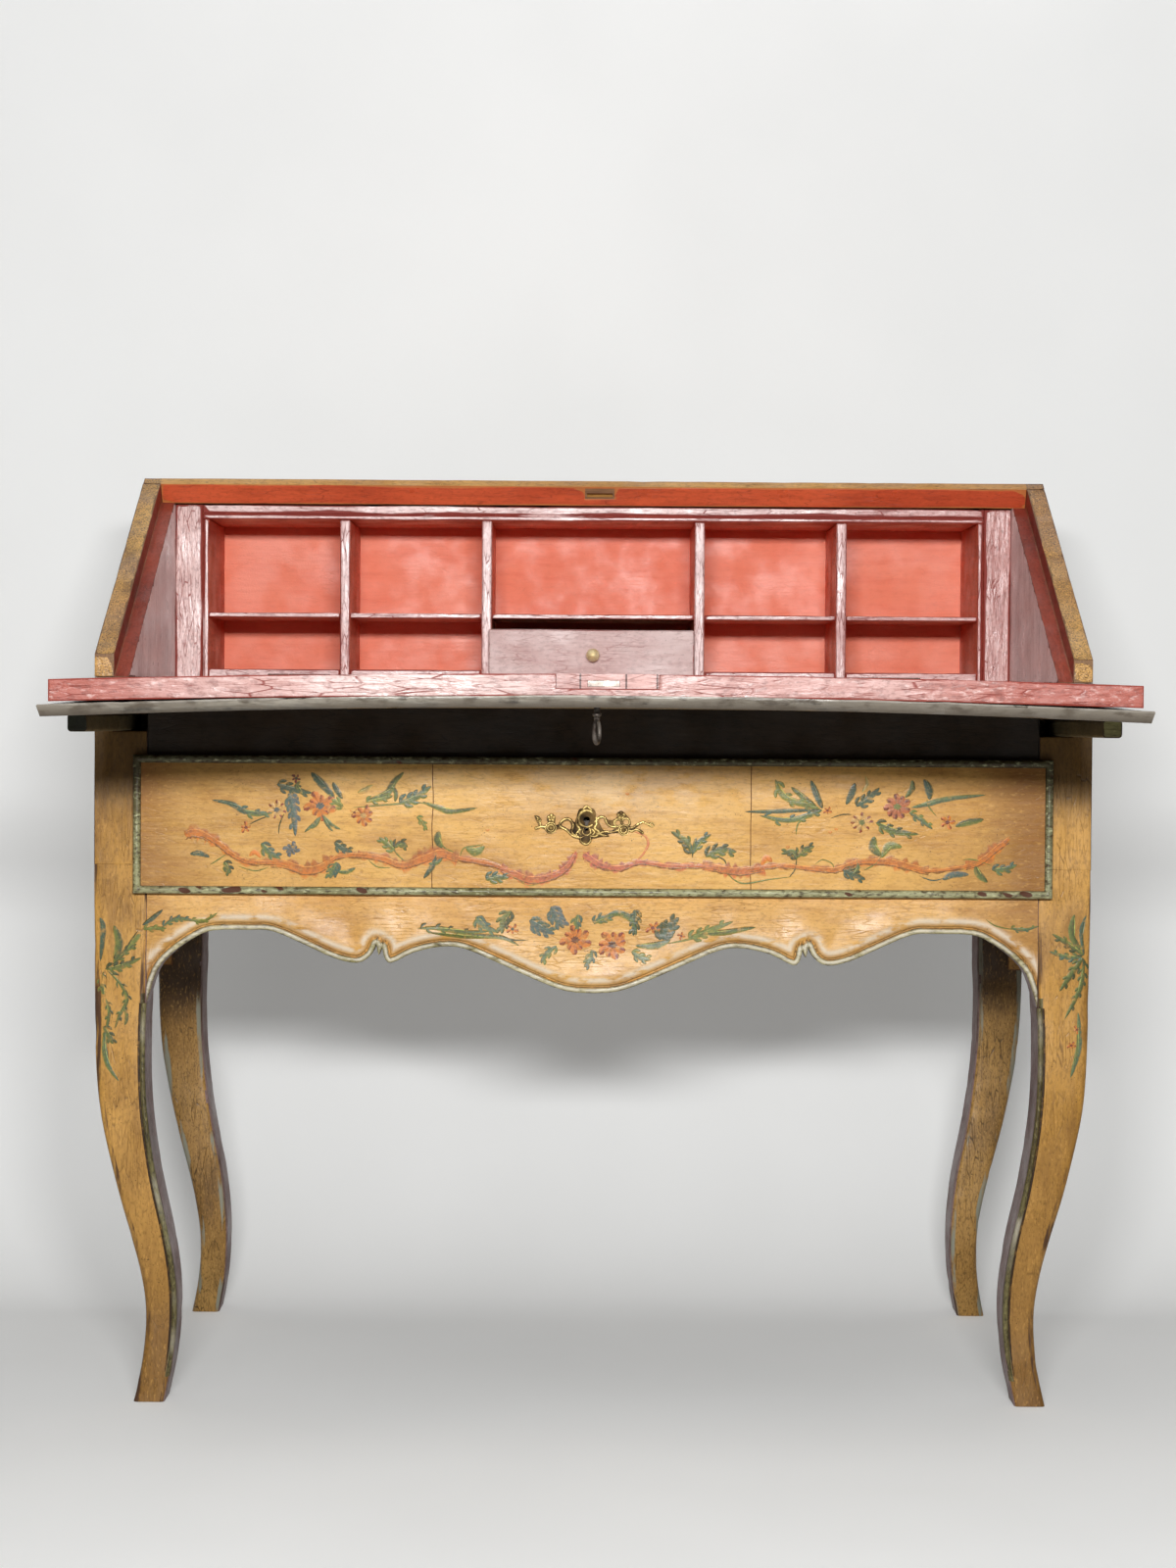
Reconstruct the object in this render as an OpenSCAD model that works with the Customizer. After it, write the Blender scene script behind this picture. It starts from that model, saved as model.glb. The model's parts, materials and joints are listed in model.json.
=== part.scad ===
// Slant-front desk on four cabriole legs: one long drawer, a fall front that rests on two
// pull-out lopers, and a gallery of pigeonholes round a small drawer.
// Millimetres, +Z up, front towards -Y. The origin is on the floor, in the middle of the box
// round the open desk. The modules draw in the case's own frame, where y = 0 is the case front.

/* [Case] */
// Width of the case over its sides
case_w = 1016; // [940:1:1100]
// Height from the floor to the top
case_h = 971; // [955:1:1010]
// Depth of the case, front plane to back
case_d = 497; // [485:1:540]
// Depth of the flat top behind the slant
top_d = 165; // [150:1:185]
// Thickness of the slanted sides
side_t = 35; // [30:1:38]
// Thickness of the side panels between the legs
panel_t = 19; // [16:0.5:20]
// Thickness of the top board
top_t = 28; // [22:1:30]
// Thickness of the top board's ends, which lie over the rims of the sides
top_lap = 7; // [6:0.5:10]
// Thickness of the back boards
back_t = 12; // [8:1:14]
// Height of the writing surface
writing_z = 742; // [735:1:748]
// Thickness of the fixed writing board
writing_t = 22; // [18:1:24]
// Height of the case floor, which is the lower edge of the drawer opening
floor_z = 532.5; // [525:0.5:545]
// Height of the drawer opening
opening_h = 120; // [110:1:125]
// Thickness of the apron and of the frieze rail
rail_t = 26; // [22:1:32]
// Height of the apron beside the posts
apron_h = 128; // [115:1:135]
// Height of the rail at the back, below the case floor
back_rail_h = 61; // [50:1:75]
// Width of the blocks glued behind the apron
block_w = 28; // [22:1:34]

/* [Legs] */
// Width of the posts, seen from the front
post_w = 54; // [50:1:60]
// Depth of the posts, seen from the side
post_d = 56; // [50:1:62]
// Height of the shaped part of a leg
leg_h = 470; // [450:1:480]
// Width of a leg at its ankle
ankle_w = 32.5; // [28:0.5:36]
// How far the outer line of a leg steps in at the ankle
ankle_in = 51.8; // [44:0.1:60]
// Width of the bead along the apron and the legs
edge_bead_w = 6; // [4:0.5:8]
// How far that bead stands proud
edge_bead_h = 1.8; // [1:0.1:3]

/* [Fall front] */
// Thickness of the inner board
fall_inner_t = 20; // [16:1:24]
// Thickness of the outer board, nailed on
fall_outer_t = 10; // [8:1:12]
// How far the outer board laps over the case on three sides
fall_lip = 9; // [7:0.5:11]
// Width of the rim that the outer board laps over
rim_w = 20; // [18:0.5:22]
// Length of the land of the top board, in front of the fall's upper edge
land = 14; // [12:0.5:18]
// Gap round the edge of the inner board
fall_gap = 4; // [3:0.5:5]
// How far the corners of the inner board have warped
inner_warp = 7.5; // [0:0.5:9]
// How far the corners of the outer board have warped
outer_warp = 11; // [9:0.5:12]

/* [Hinges] */
// Distance from the middle to each hinge
hinge_x = 300; // [220:5:360]
// Length of a hinge
hinge_l = 64; // [50:1:80]
// Width of a hinge leaf
leaf_w = 24; // [18:1:30]
// Thickness of a hinge leaf
leaf_t = 2.4; // [2:0.1:3]
// Diameter of the hinge pin
pin_d = 4; // [3:0.5:4.5]
// Outside diameter of the hinge knuckle
knuckle_d = 8; // [7:0.5:9]

/* [Locks] */
// Width of the lock plate in the edge of the fall
plate_w = 91; // [80:1:100]
// Width of the lock case
lock_w = 60; // [52:1:70]
// Height of the lock plate and case
lock_h = 13; // [12:0.5:14]
// Middle of the lock plate
plate_x = 10; // [6:0.5:14]
// Middle of the bolt
bolt_x = 6.7; // [5:0.1:8]
// Width of the bolt
bolt_w = 28; // [24:0.5:32]
// Thickness of the bolt
bolt_t = 5; // [4.5:0.1:6]
// Travel of the bolts
bolt_throw = 8; // [6:0.5:9]
// Middle of the key
key_x = 1; // [0:0.5:2]
// Distance from the fall's inner board edge to the key
key_in = 27; // [24:0.5:30]
// Diameter of the key's shank
key_d = 6; // [5:0.5:6.5]
// Outside diameter of the key's bow
bow_d = 24; // [20:0.5:28]
// Angle by which the bow is turned out of its edge-on position
bow_turn = 14; // [0:1:90]

/* [Lopers] */
// Width of a loper
loper_w = 18.5; // [16:0.5:21]
// Height of a loper
loper_h = 17; // [15:0.5:20]
// Room behind a loper that is pushed in
loper_gap = 4; // [2:1:24]
// How far a loper is drawn out at rest
loper_out = 268; // [240:1:300]
// Distance from the case side to a loper
loper_in = 20; // [19.5:0.5:24]
// Diameter of the stop peg in a loper
peg_d = 8; // [6:0.5:9]

/* [Long drawer] */
// How far the drawer front laps over the posts
lap_x = 13; // [10:0.5:18]
// How far the drawer front laps over the rails
lap_z = 10.5; // [9:0.5:13]
// Thickness of the lip of the drawer front
lip_t = 9; // [8:0.5:12]
// Thickness of the drawer front behind its lip
front_in_t = 14; // [13:0.5:18]
// Width of the half-round bead round the front
bead_w = 8; // [6:0.5:10]
// Gap between the closed drawer and the back
drawer_gap = 45; // [30:1:90]
// Thickness of the drawer sides and back
drawer_t = 12; // [10:0.5:14]
// Thickness of the drawer bottom
drawer_floor_t = 8; // [6:0.5:10]
// Height of the keyhole in the drawer front
keyhole_z = 599.5; // [595:0.5:604]
// Offset of the keyhole from the middle
keyhole_x = -6.6; // [-10:0.2:0]
// Width of the escutcheon
escutcheon_w = 122; // [110:1:130]
// Thickness of the escutcheon
escutcheon_t = 1.6; // [1.2:0.1:2.4]

/* [Gallery] */
// Depth of the gallery
gallery_d = 150; // [140:1:155]
// Gap between the gallery and the top board
gallery_gap = 1.2; // [0.6:0.2:6]
// Thickness of the gallery's dividers
divider_t = 12; // [10:0.5:15]
// Width of the stiles at the gallery's ends
stile_w = 31; // [24:0.5:36]
// Thickness of the gallery's ends
end_t = 6.5; // [5.5:0.5:10]
// Width of the middle pigeonhole
middle_w = 229; // [215:1:240]
// Thickness of the gallery's top
gallery_top_t = 16; // [12:0.5:18]
// Thickness of the gallery's floor
gallery_floor_t = 14.5; // [10:0.5:16]
// Height of the shelf above the writing surface
shelf_z = 73; // [68:0.5:80]
// Thickness of the shelf
shelf_t = 5.5; // [5:0.5:8]
// Width of the bead round the gallery's frame
frame_bead_w = 4.8; // [4:0.1:5]
// Width and depth of the groove beside that bead
frame_groove = 1.7; // [1:0.1:2]
// Thickness of the gallery's stiles
stile_t = 12; // [10:0.5:15]

/* [Small drawer] */
// Width of the small drawer's front
small_w = 233; // [225:1:242]
// Height of the small drawer's front
small_h = 55.5; // [50:0.5:58]
// Height of the front's lower edge above the writing surface
small_z = 5.6; // [4:0.2:8]
// Thickness of the front
small_t = 10; // [8:0.5:12]
// How far the front sits off the middle
small_off = -1.7; // [-4:0.1:0]
// Thickness of the small drawer's sides and back
small_side_t = 8; // [6:0.5:9]
// Thickness of its bottom
small_floor_t = 5; // [4:0.5:6]
// Diameter of the knob
knob_d = 15; // [13:0.5:17]

/* [Fits] */
// Gap between pieces that slide or swing past each other
slip = 0.3; // [0.2:0.05:0.5]
// Radial gap of the hinge pins
pin_fit = 0.05; // [0.02:0.01:0.1]

/* [Hidden] */
half_w = case_w / 2;
// Inner face of the slanted sides
inner_x = half_w - side_t;
// Inner face of the side panels
panel_x = half_w - panel_t;
// Inner face of the posts, which is half the width of the drawer opening
open_x = half_w - post_w;
slant_d = case_d - top_d;
slant_h = case_h - writing_z;
// Face of the rim above the plane that the closed fall lies on
rim_h = fall_inner_t - slip;
slant_r = sqrt(slant_d * slant_d + slant_h * slant_h);
slant = acos(rim_h / slant_r) - atan2(slant_d, slant_h);
// Distances up the slant from the hinge axis
slant_l = sqrt(slant_r * slant_r - rim_h * rim_h);
wall_s = slant_l - land;
fall_l = wall_s - 1;
fall_w = 2 * (half_w - rim_w - fall_gap);
fall_reach = fall_l + fall_lip;
outer_w = fall_w + 2 * fall_lip;
fall_start = 0.5;
front_shift = (fall_reach - case_d) / 2;
back_y = case_d - back_t;
side_top = case_h - top_t;
rim_top = case_h - top_lap;
rail_z = floor_z + opening_h;
rail_top = writing_z - writing_t;
back_post_y = case_d - post_d;

// Points of the legs by height: inset of the outer line, width, front line and depth
leg_stations = [
    [leg_h, 0, post_w, 0, post_d],
    [0.883 * leg_h, 0.006 * ankle_in, post_w - 0.006 * ankle_in, 0, post_d],
    [0.83 * leg_h, 0.015 * ankle_in, post_w - 2, -1, post_d],
    [0.73 * leg_h, 0.043 * ankle_in, post_w - 3.5, -3, post_d],
    [0.624 * leg_h, 0.147 * ankle_in, post_w - 6, -4, post_d - 1],
    [0.485 * leg_h, 0.419 * ankle_in, post_w - 11, -1, post_d],
    [0.364 * leg_h, 0.714 * ankle_in, ankle_w + 7, 4, post_d - 1],
    [0.274 * leg_h, 0.907 * ankle_in, ankle_w + 3, 8.5, post_d - 3],
    [0.191 * leg_h, ankle_in, ankle_w, 10.5, post_d - 6],
    [0.091 * leg_h, 0.95 * ankle_in, ankle_w - 0.8, 7, post_d - 9],
    [0, 0.785 * ankle_in, ankle_w - 0.5, 2, post_d - 12]];

// Lower edge of the front apron, from the post to the notch, up the notch, and to the middle,
// as shares of half the opening and of the apron's height
apron_outer = [[1, -1], [0.977, -0.746], [0.943, -0.605], [0.9, -0.496], [0.854, -0.425],
    [0.771, -0.418], [0.718, -0.427], [0.643, -0.538], [0.581, -0.637], [0.529, -0.677],
    [0.498, -0.617], [0.485, -0.527]];
apron_inner = [[0.485, -0.527], [0.478, -0.625], [0.452, -0.676], [0.401, -0.59],
    [0.339, -0.543], [0.286, -0.559], [0.21, -0.672], [0.134, -0.793], [0.06, -0.89],
    [0, -0.907]];
// Lower edge of the side panels, as shares of the way from post to post and of the apron's height
side_edge = [[0, -0.96], [0.035, -0.732], [0.12, -0.537], [0.3, -0.455], [0.5, -0.602],
    [0.7, -0.455], [0.88, -0.537], [0.965, -0.732], [1, -0.96]];
curve_steps = 3;

// How far the outer board's under face has dropped where the lopers' front ends bear
outer_taper = 3;
bow_at_loper = outer_warp * loper_out / (fall_reach - outer_taper)
    * pow((half_w - loper_in) / (outer_w / 2 - outer_taper), 2);
loper_top = writing_z - fall_inner_t - fall_outer_t - bow_at_loper - slip;
loper_z = loper_top - loper_h;
loper_x = half_w - loper_in - loper_w;
loper_flush = 3;
loper_l = back_post_y + loper_flush - loper_gap;
loper_end_y = loper_l - loper_out;
loper_travel = loper_out - loper_flush;
peg_y = loper_end_y - 1.5 * peg_d;
peg_reach = 6;
channel_back = back_post_y;
// How far the runners and channels reach past the posts under and over the drawer
runner_bear = 14;
loper_round = 3.5;
channel_x = open_x - runner_bear;

lock_wall = 1.5;
bolt_drop = lock_h - lock_wall - bolt_t - 0.4;
key_y = -(fall_l - key_in);
bit_r = 7;
lock_d = key_in + 3 * bit_r;
bit_t = 2;
bit_h = lock_h - lock_wall - 4.4;
key_top = writing_z - lock_wall - 0.5;
bow_wire = 3;
keyhole_d = key_d + 2;
keeper_w = 33;
keeper_t = 1.5;

drawer_d = back_y - drawer_gap;
drawer_x = open_x - 2;
drawer_low = floor_z + slip;
drawer_box_z = drawer_low + drawer_floor_t;
drawer_box_top = rail_z - 7;
lip_x = open_x + lap_x;
lip_z0 = floor_z - lap_z;
lip_z1 = rail_z + lap_z;
front_y = -slip - lip_t;
runner_h = 20;
guide_h = 34;
drawer_lock_w = 70;
drawer_lock_h = 64;
drawer_lock_t = 9;
drawer_bolt_w = 24;
drawer_bolt_t = 5;
drawer_lock_top = rail_z - 1.5;
drawer_lock_rim = 3;
drawer_bolt_h = 36;
// Keyhole in the long drawer's front, and how far it is cut from the front plane each way
drawer_hole_d = 7;
drawer_slot_w = 3.2;
drawer_slot_h = 11;
drawer_cut = 30;

// How far the way for the key is cut through both boards of the fall
key_way_h = 2 * (fall_inner_t + fall_outer_t);

gallery_y = back_y - gallery_d;
gallery_h = side_top - writing_z - gallery_gap;
hole_top = writing_z + gallery_h - gallery_top_t;
shelf_low = writing_z + shelf_z;
// Faces of the dividers towards the middle, and the inner faces of the gallery's ends
end_x = inner_x - stile_w - end_t;
divider_1 = middle_w / 2;
// Width of the side pigeonholes
hole_w = (end_x - divider_1 - 2 * divider_t) / 2;
divider_2 = divider_1 + divider_t + hole_w;

small_x = middle_w / 2 - 2;
small_front_y = gallery_y - slip - small_t;
small_low = writing_z + slip;
small_top = writing_z + small_z + small_h - 8;
small_back = gallery_y + gallery_d - 7;

function cubic(a, b, c, d, t) = 0.5 * (2 * b + (c - a) * t + (2 * a - 5 * b + 4 * c - d) * t * t
    + (3 * b - a - 3 * c + d) * t * t * t);

// Smooth curve through the points p, with n steps from each point to the next
function smooth(p, n) = [
    for (i = [0 : len(p) - 2], k = [0 : n - 1])
        cubic(p[max(i - 1, 0)], p[i], p[i + 1], p[min(i + 2, len(p) - 1)], k / n),
    p[len(p) - 1]];

// The same for a closed line
function closed(p, n) = let (m = len(p)) [
    for (i = [0 : m - 1], k = [0 : n - 1])
        cubic(p[(i + m - 1) % m], p[i], p[(i + 1) % m], p[(i + 2) % m], k / n)];

function reversed(p) = [for (i = [len(p) - 1 : -1 : 0]) p[i]];

function unit(v) = v / norm(v);

// The points p moved sideways by d, to the left of their direction
function beside(p, d) = [for (i = [0 : len(p) - 1])
    let (t = unit(p[min(i + 1, len(p) - 1)] - p[max(i - 1, 0)])) p[i] + d * [-t[1], t[0]]];

// The rows of the curve; beside the apron and the side panels a leg keeps to its post's lines
knee_z = 0.84 * leg_h;
leg_curve = smooth(leg_stations, curve_steps);
leg_outer = [for (s = leg_curve) [half_w - s[1], s[0]]];
leg_inner = [for (s = leg_curve)
    let (x = half_w - s[1] - s[2]) [s[0] > knee_z ? max(x, open_x) : x, s[0]]];
leg_face = [for (s = leg_curve) [s[3], s[0]]];
leg_back = [for (s = leg_curve)
    let (y = s[3] + s[4]) [s[0] > knee_z ? min(y, post_d) : y, s[0]]];
// The back legs keep behind the back of the case
wall_face = [for (p = leg_face) [max(p[0], 0), p[1]]];

function at_apron(p) = [for (q = p) [q[0] * open_x, floor_z + q[1] * apron_h]];

apron_edge = concat(smooth(at_apron(apron_outer), curve_steps),
    smooth(at_apron(apron_inner), curve_steps));

$fn = 48;

module place() {
    translate([0, front_shift, 0]) children();
}

// side is 1 for the right piece and -1 for its mirror image
module sided(side) {
    if (side > 0) children();
    else mirror([1, 0, 0]) children();
}

// A box from its lowest to its highest corner
module block(lo, hi) {
    translate(lo) cube(hi - lo);
}

// An outline in x and z, extruded from y0 to y1
module across_y(y0, y1) {
    translate([0, y1, 0]) rotate([90, 0, 0]) linear_extrude(y1 - y0) children();
}

// An outline in y and z, extruded from x0 to x1
module across_x(x0, x1) {
    translate([x0, 0, 0]) rotate([90, 0, 90]) linear_extrude(x1 - x0) children();
}

// The plane of the closed fall: +Y runs up the slant, +Z out of the desk
module on_slant() {
    translate([0, 0, writing_z]) rotate([slant, 0, 0]) children();
}

// A right leg: a front outline and a side outline sawn from one post
module leg(front) {
    face = front ? leg_face : wall_face;
    intersection() {
        across_y(-10, post_d + 20)
            polygon(concat([[half_w, writing_z]], leg_outer, reversed(leg_inner),
                [[open_x, rail_top], [inner_x, rail_top], [inner_x, writing_z]]));
        across_x(open_x - ankle_in - 10, half_w + 1)
            polygon(concat([[0, writing_z]], face, reversed(leg_back), [[post_d, writing_z]]));
    }
    if (front) {
        inner_line = [for (p = leg_inner) if (p[1] < knee_z) p];
        intersection() {
            across_y(-10, 15) polygon(concat(inner_line, reversed(beside(inner_line, edge_bead_w))));
            translate([0, -edge_bead_h, 0]) across_x(open_x - ankle_in - 10, half_w + 1)
                polygon(concat(face, reversed(beside(face, 8))));
        }
    }
}

module front_leg(side) {
    color("peru") place() sided(side) difference() {
        leg(true);
        block([loper_x - slip, -1, loper_z - slip],
            [loper_x + loper_w + slip, post_d + 1, loper_top + slip]);
    }
}

module back_leg(side) {
    color("peru") place() sided(side) translate([0, case_d, 0]) mirror([0, 1, 0]) leg(false);
}

// A lower side panel, flush with the posts, with its shaped lower edge
module side_panel(side) {
    run = back_post_y - post_d;
    edge = smooth([for (p = side_edge) [post_d + p[0] * run, floor_z + p[1] * apron_h]], curve_steps);
    color("goldenrod") place() sided(side) across_x(panel_x, half_w)
        polygon(concat(edge, [[back_post_y, writing_z], [post_d, writing_z]]));
}

// A point on the slant, s up it and h above the closed fall's inner face, in y and z
function on_slope(s, h) = [s * cos(slant) - h * sin(slant), writing_z + s * sin(slant) + h * cos(slant)];

// The y at which the plane h above the closed fall's inner face reaches the height z
function slope_y(z, h) = ((z - writing_z) - h / cos(slant)) / tan(slant);

module slant_side(side) {
    rim_foot = writing_z + rim_h / cos(slant);
    color("goldenrod") place() sided(side) {
        across_x(half_w - rim_w, half_w)
            polygon([[0, writing_z], [0, rim_foot], [slope_y(rim_top, rim_h), rim_top],
                [case_d, rim_top], [case_d, writing_z]]);
        across_x(inner_x, half_w - rim_w)
            polygon([[slope_y(writing_z, -slip), writing_z], [slope_y(side_top, -slip), side_top],
                [case_d, side_top], [case_d, writing_z]]);
    }
}

module top_board() {
    land_end = on_slope(wall_s, rim_h);
    wall_foot = (side_top - writing_z - wall_s * sin(slant)) / cos(slant);
    color("goldenrod") place() difference() {
        union() {
            across_x(-half_w + rim_w, half_w - rim_w)
                polygon([[case_d, case_h], [slant_d, case_h], land_end, on_slope(wall_s, wall_foot),
                    [case_d, side_top]]);
            for (x = [-half_w, half_w - rim_w]) across_x(x, x + rim_w)
                polygon([[case_d, case_h], [slant_d, case_h], [slope_y(rim_top, rim_h), rim_top],
                    [case_d, rim_top]]);
        }
        on_slant() {
            block([bolt_x - keeper_w / 2, wall_s - 1, bolt_drop - 2],
                [bolt_x + keeper_w / 2, wall_s + keeper_t, bolt_drop + bolt_t + 6]);
            block([bolt_x - bolt_w / 2 - 0.5, wall_s - 1, bolt_drop - slip],
                [bolt_x + bolt_w / 2 + 0.5, wall_s + bolt_throw + 2, bolt_drop + bolt_t + slip]);
        }
    }
}

module lock_keeper() {
    color("dimgray") place() on_slant() difference() {
        block([bolt_x - keeper_w / 2, wall_s, bolt_drop - 2],
            [bolt_x + keeper_w / 2, wall_s + keeper_t, bolt_drop + bolt_t + 6]);
        block([bolt_x - bolt_w / 2 - 0.5, wall_s - 1, bolt_drop - slip],
            [bolt_x + bolt_w / 2 + 0.5, wall_s + keeper_t + 1, bolt_drop + bolt_t + slip]);
    }
}

module upper_back() {
    color("salmon") place() block([-inner_x, back_y, rail_top], [inner_x, case_d, side_top]);
}

module lower_back() {
    color("tan") place() block([-open_x, back_y, floor_z], [open_x, case_d, rail_top]);
}

module back_rail() {
    color("tan") place() block([-open_x, case_d - rail_t, floor_z - back_rail_h], [open_x, case_d, floor_z]);
}

module writing_board() {
    color("rosybrown") place() difference() {
        block([-inner_x, fall_start, rail_top], [inner_x, back_y, writing_z]);
        for (x = [-hinge_x, hinge_x]) {
            block([x - hinge_l / 2, -1, writing_z - leaf_t], [x + hinge_l / 2, leaf_w, writing_z + 1]);
            translate([x - hinge_l / 2, 0, writing_z]) rotate([0, 90, 0])
                cylinder(d = knuckle_d + 2 * slip, h = hinge_l);
        }
    }
}

module frieze_rail() {
    color("goldenrod") place() difference() {
        block([-open_x, 0, rail_z], [open_x, rail_t, rail_top]);
        block([keyhole_x - drawer_bolt_w / 2 - 0.5, front_in_t - drawer_lock_t + 1, rail_z - 1],
            [keyhole_x + drawer_bolt_w / 2 + 0.5, front_in_t - drawer_lock_t + 3 + drawer_bolt_t,
                rail_z + bolt_throw + 2]);
    }
}

// Outline of the right half of the front apron, above its sawn edge
module apron_half(top) {
    polygon(concat(apron_edge, [[0, top], [open_x, top]]));
}

// The same outline, running on behind the post by more
module apron_past_post(more) {
    polygon(concat(apron_edge, [[0, floor_z], [open_x + more, floor_z],
        [open_x + more, apron_edge[0][1]]]));
}

// The front apron: a sawn board with a raised bead worked along its lower edge
module front_apron() {
    color("goldenrod") place() for (side = [-1, 1]) sided(side) {
        across_y(0, rail_t) apron_half(floor_z);
        across_y(-edge_bead_h, 0) difference() {
            apron_half(lip_z0 - 1);
            intersection() {
                translate([0, edge_bead_w]) apron_past_post(edge_bead_w);
                translate([-edge_bead_w, edge_bead_w / 2]) apron_past_post(2 * edge_bead_w);
            }
        }
    }
}

// Blocks glued into the corners behind the front apron and the back rail
module glue_blocks() {
    low = floor_z - back_rail_h + 1;
    color("tan") place() for (side = [-1, 1]) sided(side)
        translate([0, 0, low]) linear_extrude(floor_z - 2 - low) {
            polygon([[open_x, rail_t], [open_x - block_w, rail_t], [open_x, rail_t + block_w]]);
            polygon([[open_x, case_d - rail_t], [open_x - block_w, case_d - rail_t],
                [open_x, case_d - rail_t - block_w]]);
        }
}

// A channel between post and back: drawer kicker below, loper slot, guide above
module loper_channel(side) {
    slot_x = loper_x - slip;
    groove_z = loper_z + loper_h / 2;
    color("tan") place() sided(side) difference() {
        across_y(post_d, channel_back)
            polygon([[channel_x, rail_z], [panel_x, rail_z], [panel_x, loper_z - slip],
                [slot_x, loper_z - slip], [slot_x, loper_top + slip], [panel_x, loper_top + slip],
                [panel_x, rail_top], [channel_x, rail_top]]);
        block([slot_x - peg_reach - slip, peg_y - peg_d / 2 - slip, groove_z - peg_d / 2 - slip],
            [slot_x + 1, peg_y + loper_travel + peg_d / 2 + 2, groove_z + peg_d / 2 + slip]);
    }
}

// A runner for the long drawer, with the guide that keeps it straight
module drawer_runner(side) {
    guide_x = drawer_x + slip + 1;
    color("tan") place() sided(side) across_y(post_d, channel_back)
        polygon([[open_x - runner_bear, floor_z - runner_h], [panel_x, floor_z - runner_h],
            [panel_x, floor_z + guide_h], [guide_x, floor_z + guide_h], [guide_x, floor_z],
            [open_x - runner_bear, floor_z]]);
}

// The case leaf of a hinge carries the two outer knuckles
module hinge_case_leaf() {
    third = hinge_l / 3;
    difference() {
        union() {
            block([-hinge_l / 2 + slip, 0, writing_z - leaf_t],
                [hinge_l / 2 - slip, leaf_w - slip, writing_z]);
            for (x = [-hinge_l / 2 + slip, third / 2 + slip])
                translate([x, 0, writing_z]) rotate([0, 90, 0])
                    cylinder(d = knuckle_d, h = third - 2 * slip);
        }
        translate([-hinge_l, 0, writing_z]) rotate([0, 90, 0])
            cylinder(d = pin_d + 2 * pin_fit, h = 2 * hinge_l);
        translate([-third / 2 - slip, 0, writing_z]) rotate([0, 90, 0])
            cylinder(d = knuckle_d + 2 * slip, h = third + 2 * slip);
    }
}

// The fall leaf carries the middle knuckle
module hinge_fall_leaf() {
    third = hinge_l / 3;
    difference() {
        union() {
            block([-hinge_l / 2 + slip, -leaf_w + slip, writing_z - leaf_t],
                [hinge_l / 2 - slip, 0, writing_z]);
            translate([-third / 2 + slip, 0, writing_z]) rotate([0, 90, 0])
                cylinder(d = knuckle_d, h = third - 2 * slip);
        }
        translate([-hinge_l, 0, writing_z]) rotate([0, 90, 0])
            cylinder(d = pin_d + 2 * pin_fit, h = 2 * hinge_l);
        for (x = [-hinge_l / 2 - 1, third / 2 - slip]) translate([x, 0, writing_z])
            rotate([0, 90, 0]) cylinder(d = knuckle_d + 2 * slip, h = third + 1 + slip);
    }
}

module hinge_case_leaves() {
    color("darkgoldenrod") place() for (x = [-hinge_x, hinge_x])
        translate([x, 0, 0]) hinge_case_leaf();
}

module hinge_fall_leaves() {
    color("darkgoldenrod") place() for (x = [-hinge_x, hinge_x])
        translate([x, 0, 0]) hinge_fall_leaf();
}

module hinge_pins() {
    color("dimgray") place() for (x = [-hinge_x, hinge_x])
        translate([x - hinge_l / 2 + slip, 0, writing_z]) rotate([0, 90, 0])
            cylinder(d = pin_d, h = hinge_l - 2 * slip);
}

// A warped board, top face at z1 and lower face at z0 by the hinge; its free corners have
// dropped by warp, and its lower face is smaller all round by slope
module warped_board(width, length, z0, z1, warp, taper) {
    nx = 16;
    ny = 4;
    function at(i, j, z, in) =
        let (u = 2 * i / nx - 1, v = j / ny)
        [u * (width / 2 - in), -fall_start - v * (length - fall_start - in), z - warp * v * u * u];
    function id(i, j, k) = (i * (ny + 1) + j) * 2 + k;
    points = [for (i = [0 : nx], j = [0 : ny]) each [at(i, j, z0, taper), at(i, j, z1, 0)]];
    sheet = [for (i = [0 : nx - 1], j = [0 : ny - 1]) each [
        [id(i, j, 1), id(i, j + 1, 1), id(i + 1, j + 1, 1)],
        [id(i, j, 1), id(i + 1, j + 1, 1), id(i + 1, j, 1)],
        [id(i, j, 0), id(i + 1, j + 1, 0), id(i, j + 1, 0)],
        [id(i, j, 0), id(i + 1, j, 0), id(i + 1, j + 1, 0)]]];
    ends = [for (i = [0 : nx - 1]) each [
        [id(i, 0, 0), id(i, 0, 1), id(i + 1, 0, 1)], [id(i, 0, 0), id(i + 1, 0, 1), id(i + 1, 0, 0)],
        [id(i, ny, 0), id(i + 1, ny, 1), id(i, ny, 1)],
        [id(i, ny, 0), id(i + 1, ny, 0), id(i + 1, ny, 1)]]];
    sides = [for (j = [0 : ny - 1]) each [
        [id(0, j, 0), id(0, j + 1, 1), id(0, j, 1)], [id(0, j, 0), id(0, j + 1, 0), id(0, j + 1, 1)],
        [id(nx, j, 0), id(nx, j, 1), id(nx, j + 1, 1)],
        [id(nx, j, 0), id(nx, j + 1, 1), id(nx, j + 1, 0)]]];
    polyhedron(points, concat(sheet, ends, sides), convexity = 4);
}

// The way for the key through both boards: a round hole with a slot for the bit
module key_way() {
    translate([key_x, key_y, writing_z - key_way_h]) cylinder(d = keyhole_d, h = key_way_h);
    block([key_x, key_y - bit_t / 2 - 0.5, writing_z - key_way_h],
        [key_x + bit_r + 0.8, key_y + bit_t / 2 + 0.5, writing_z]);
}

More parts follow.
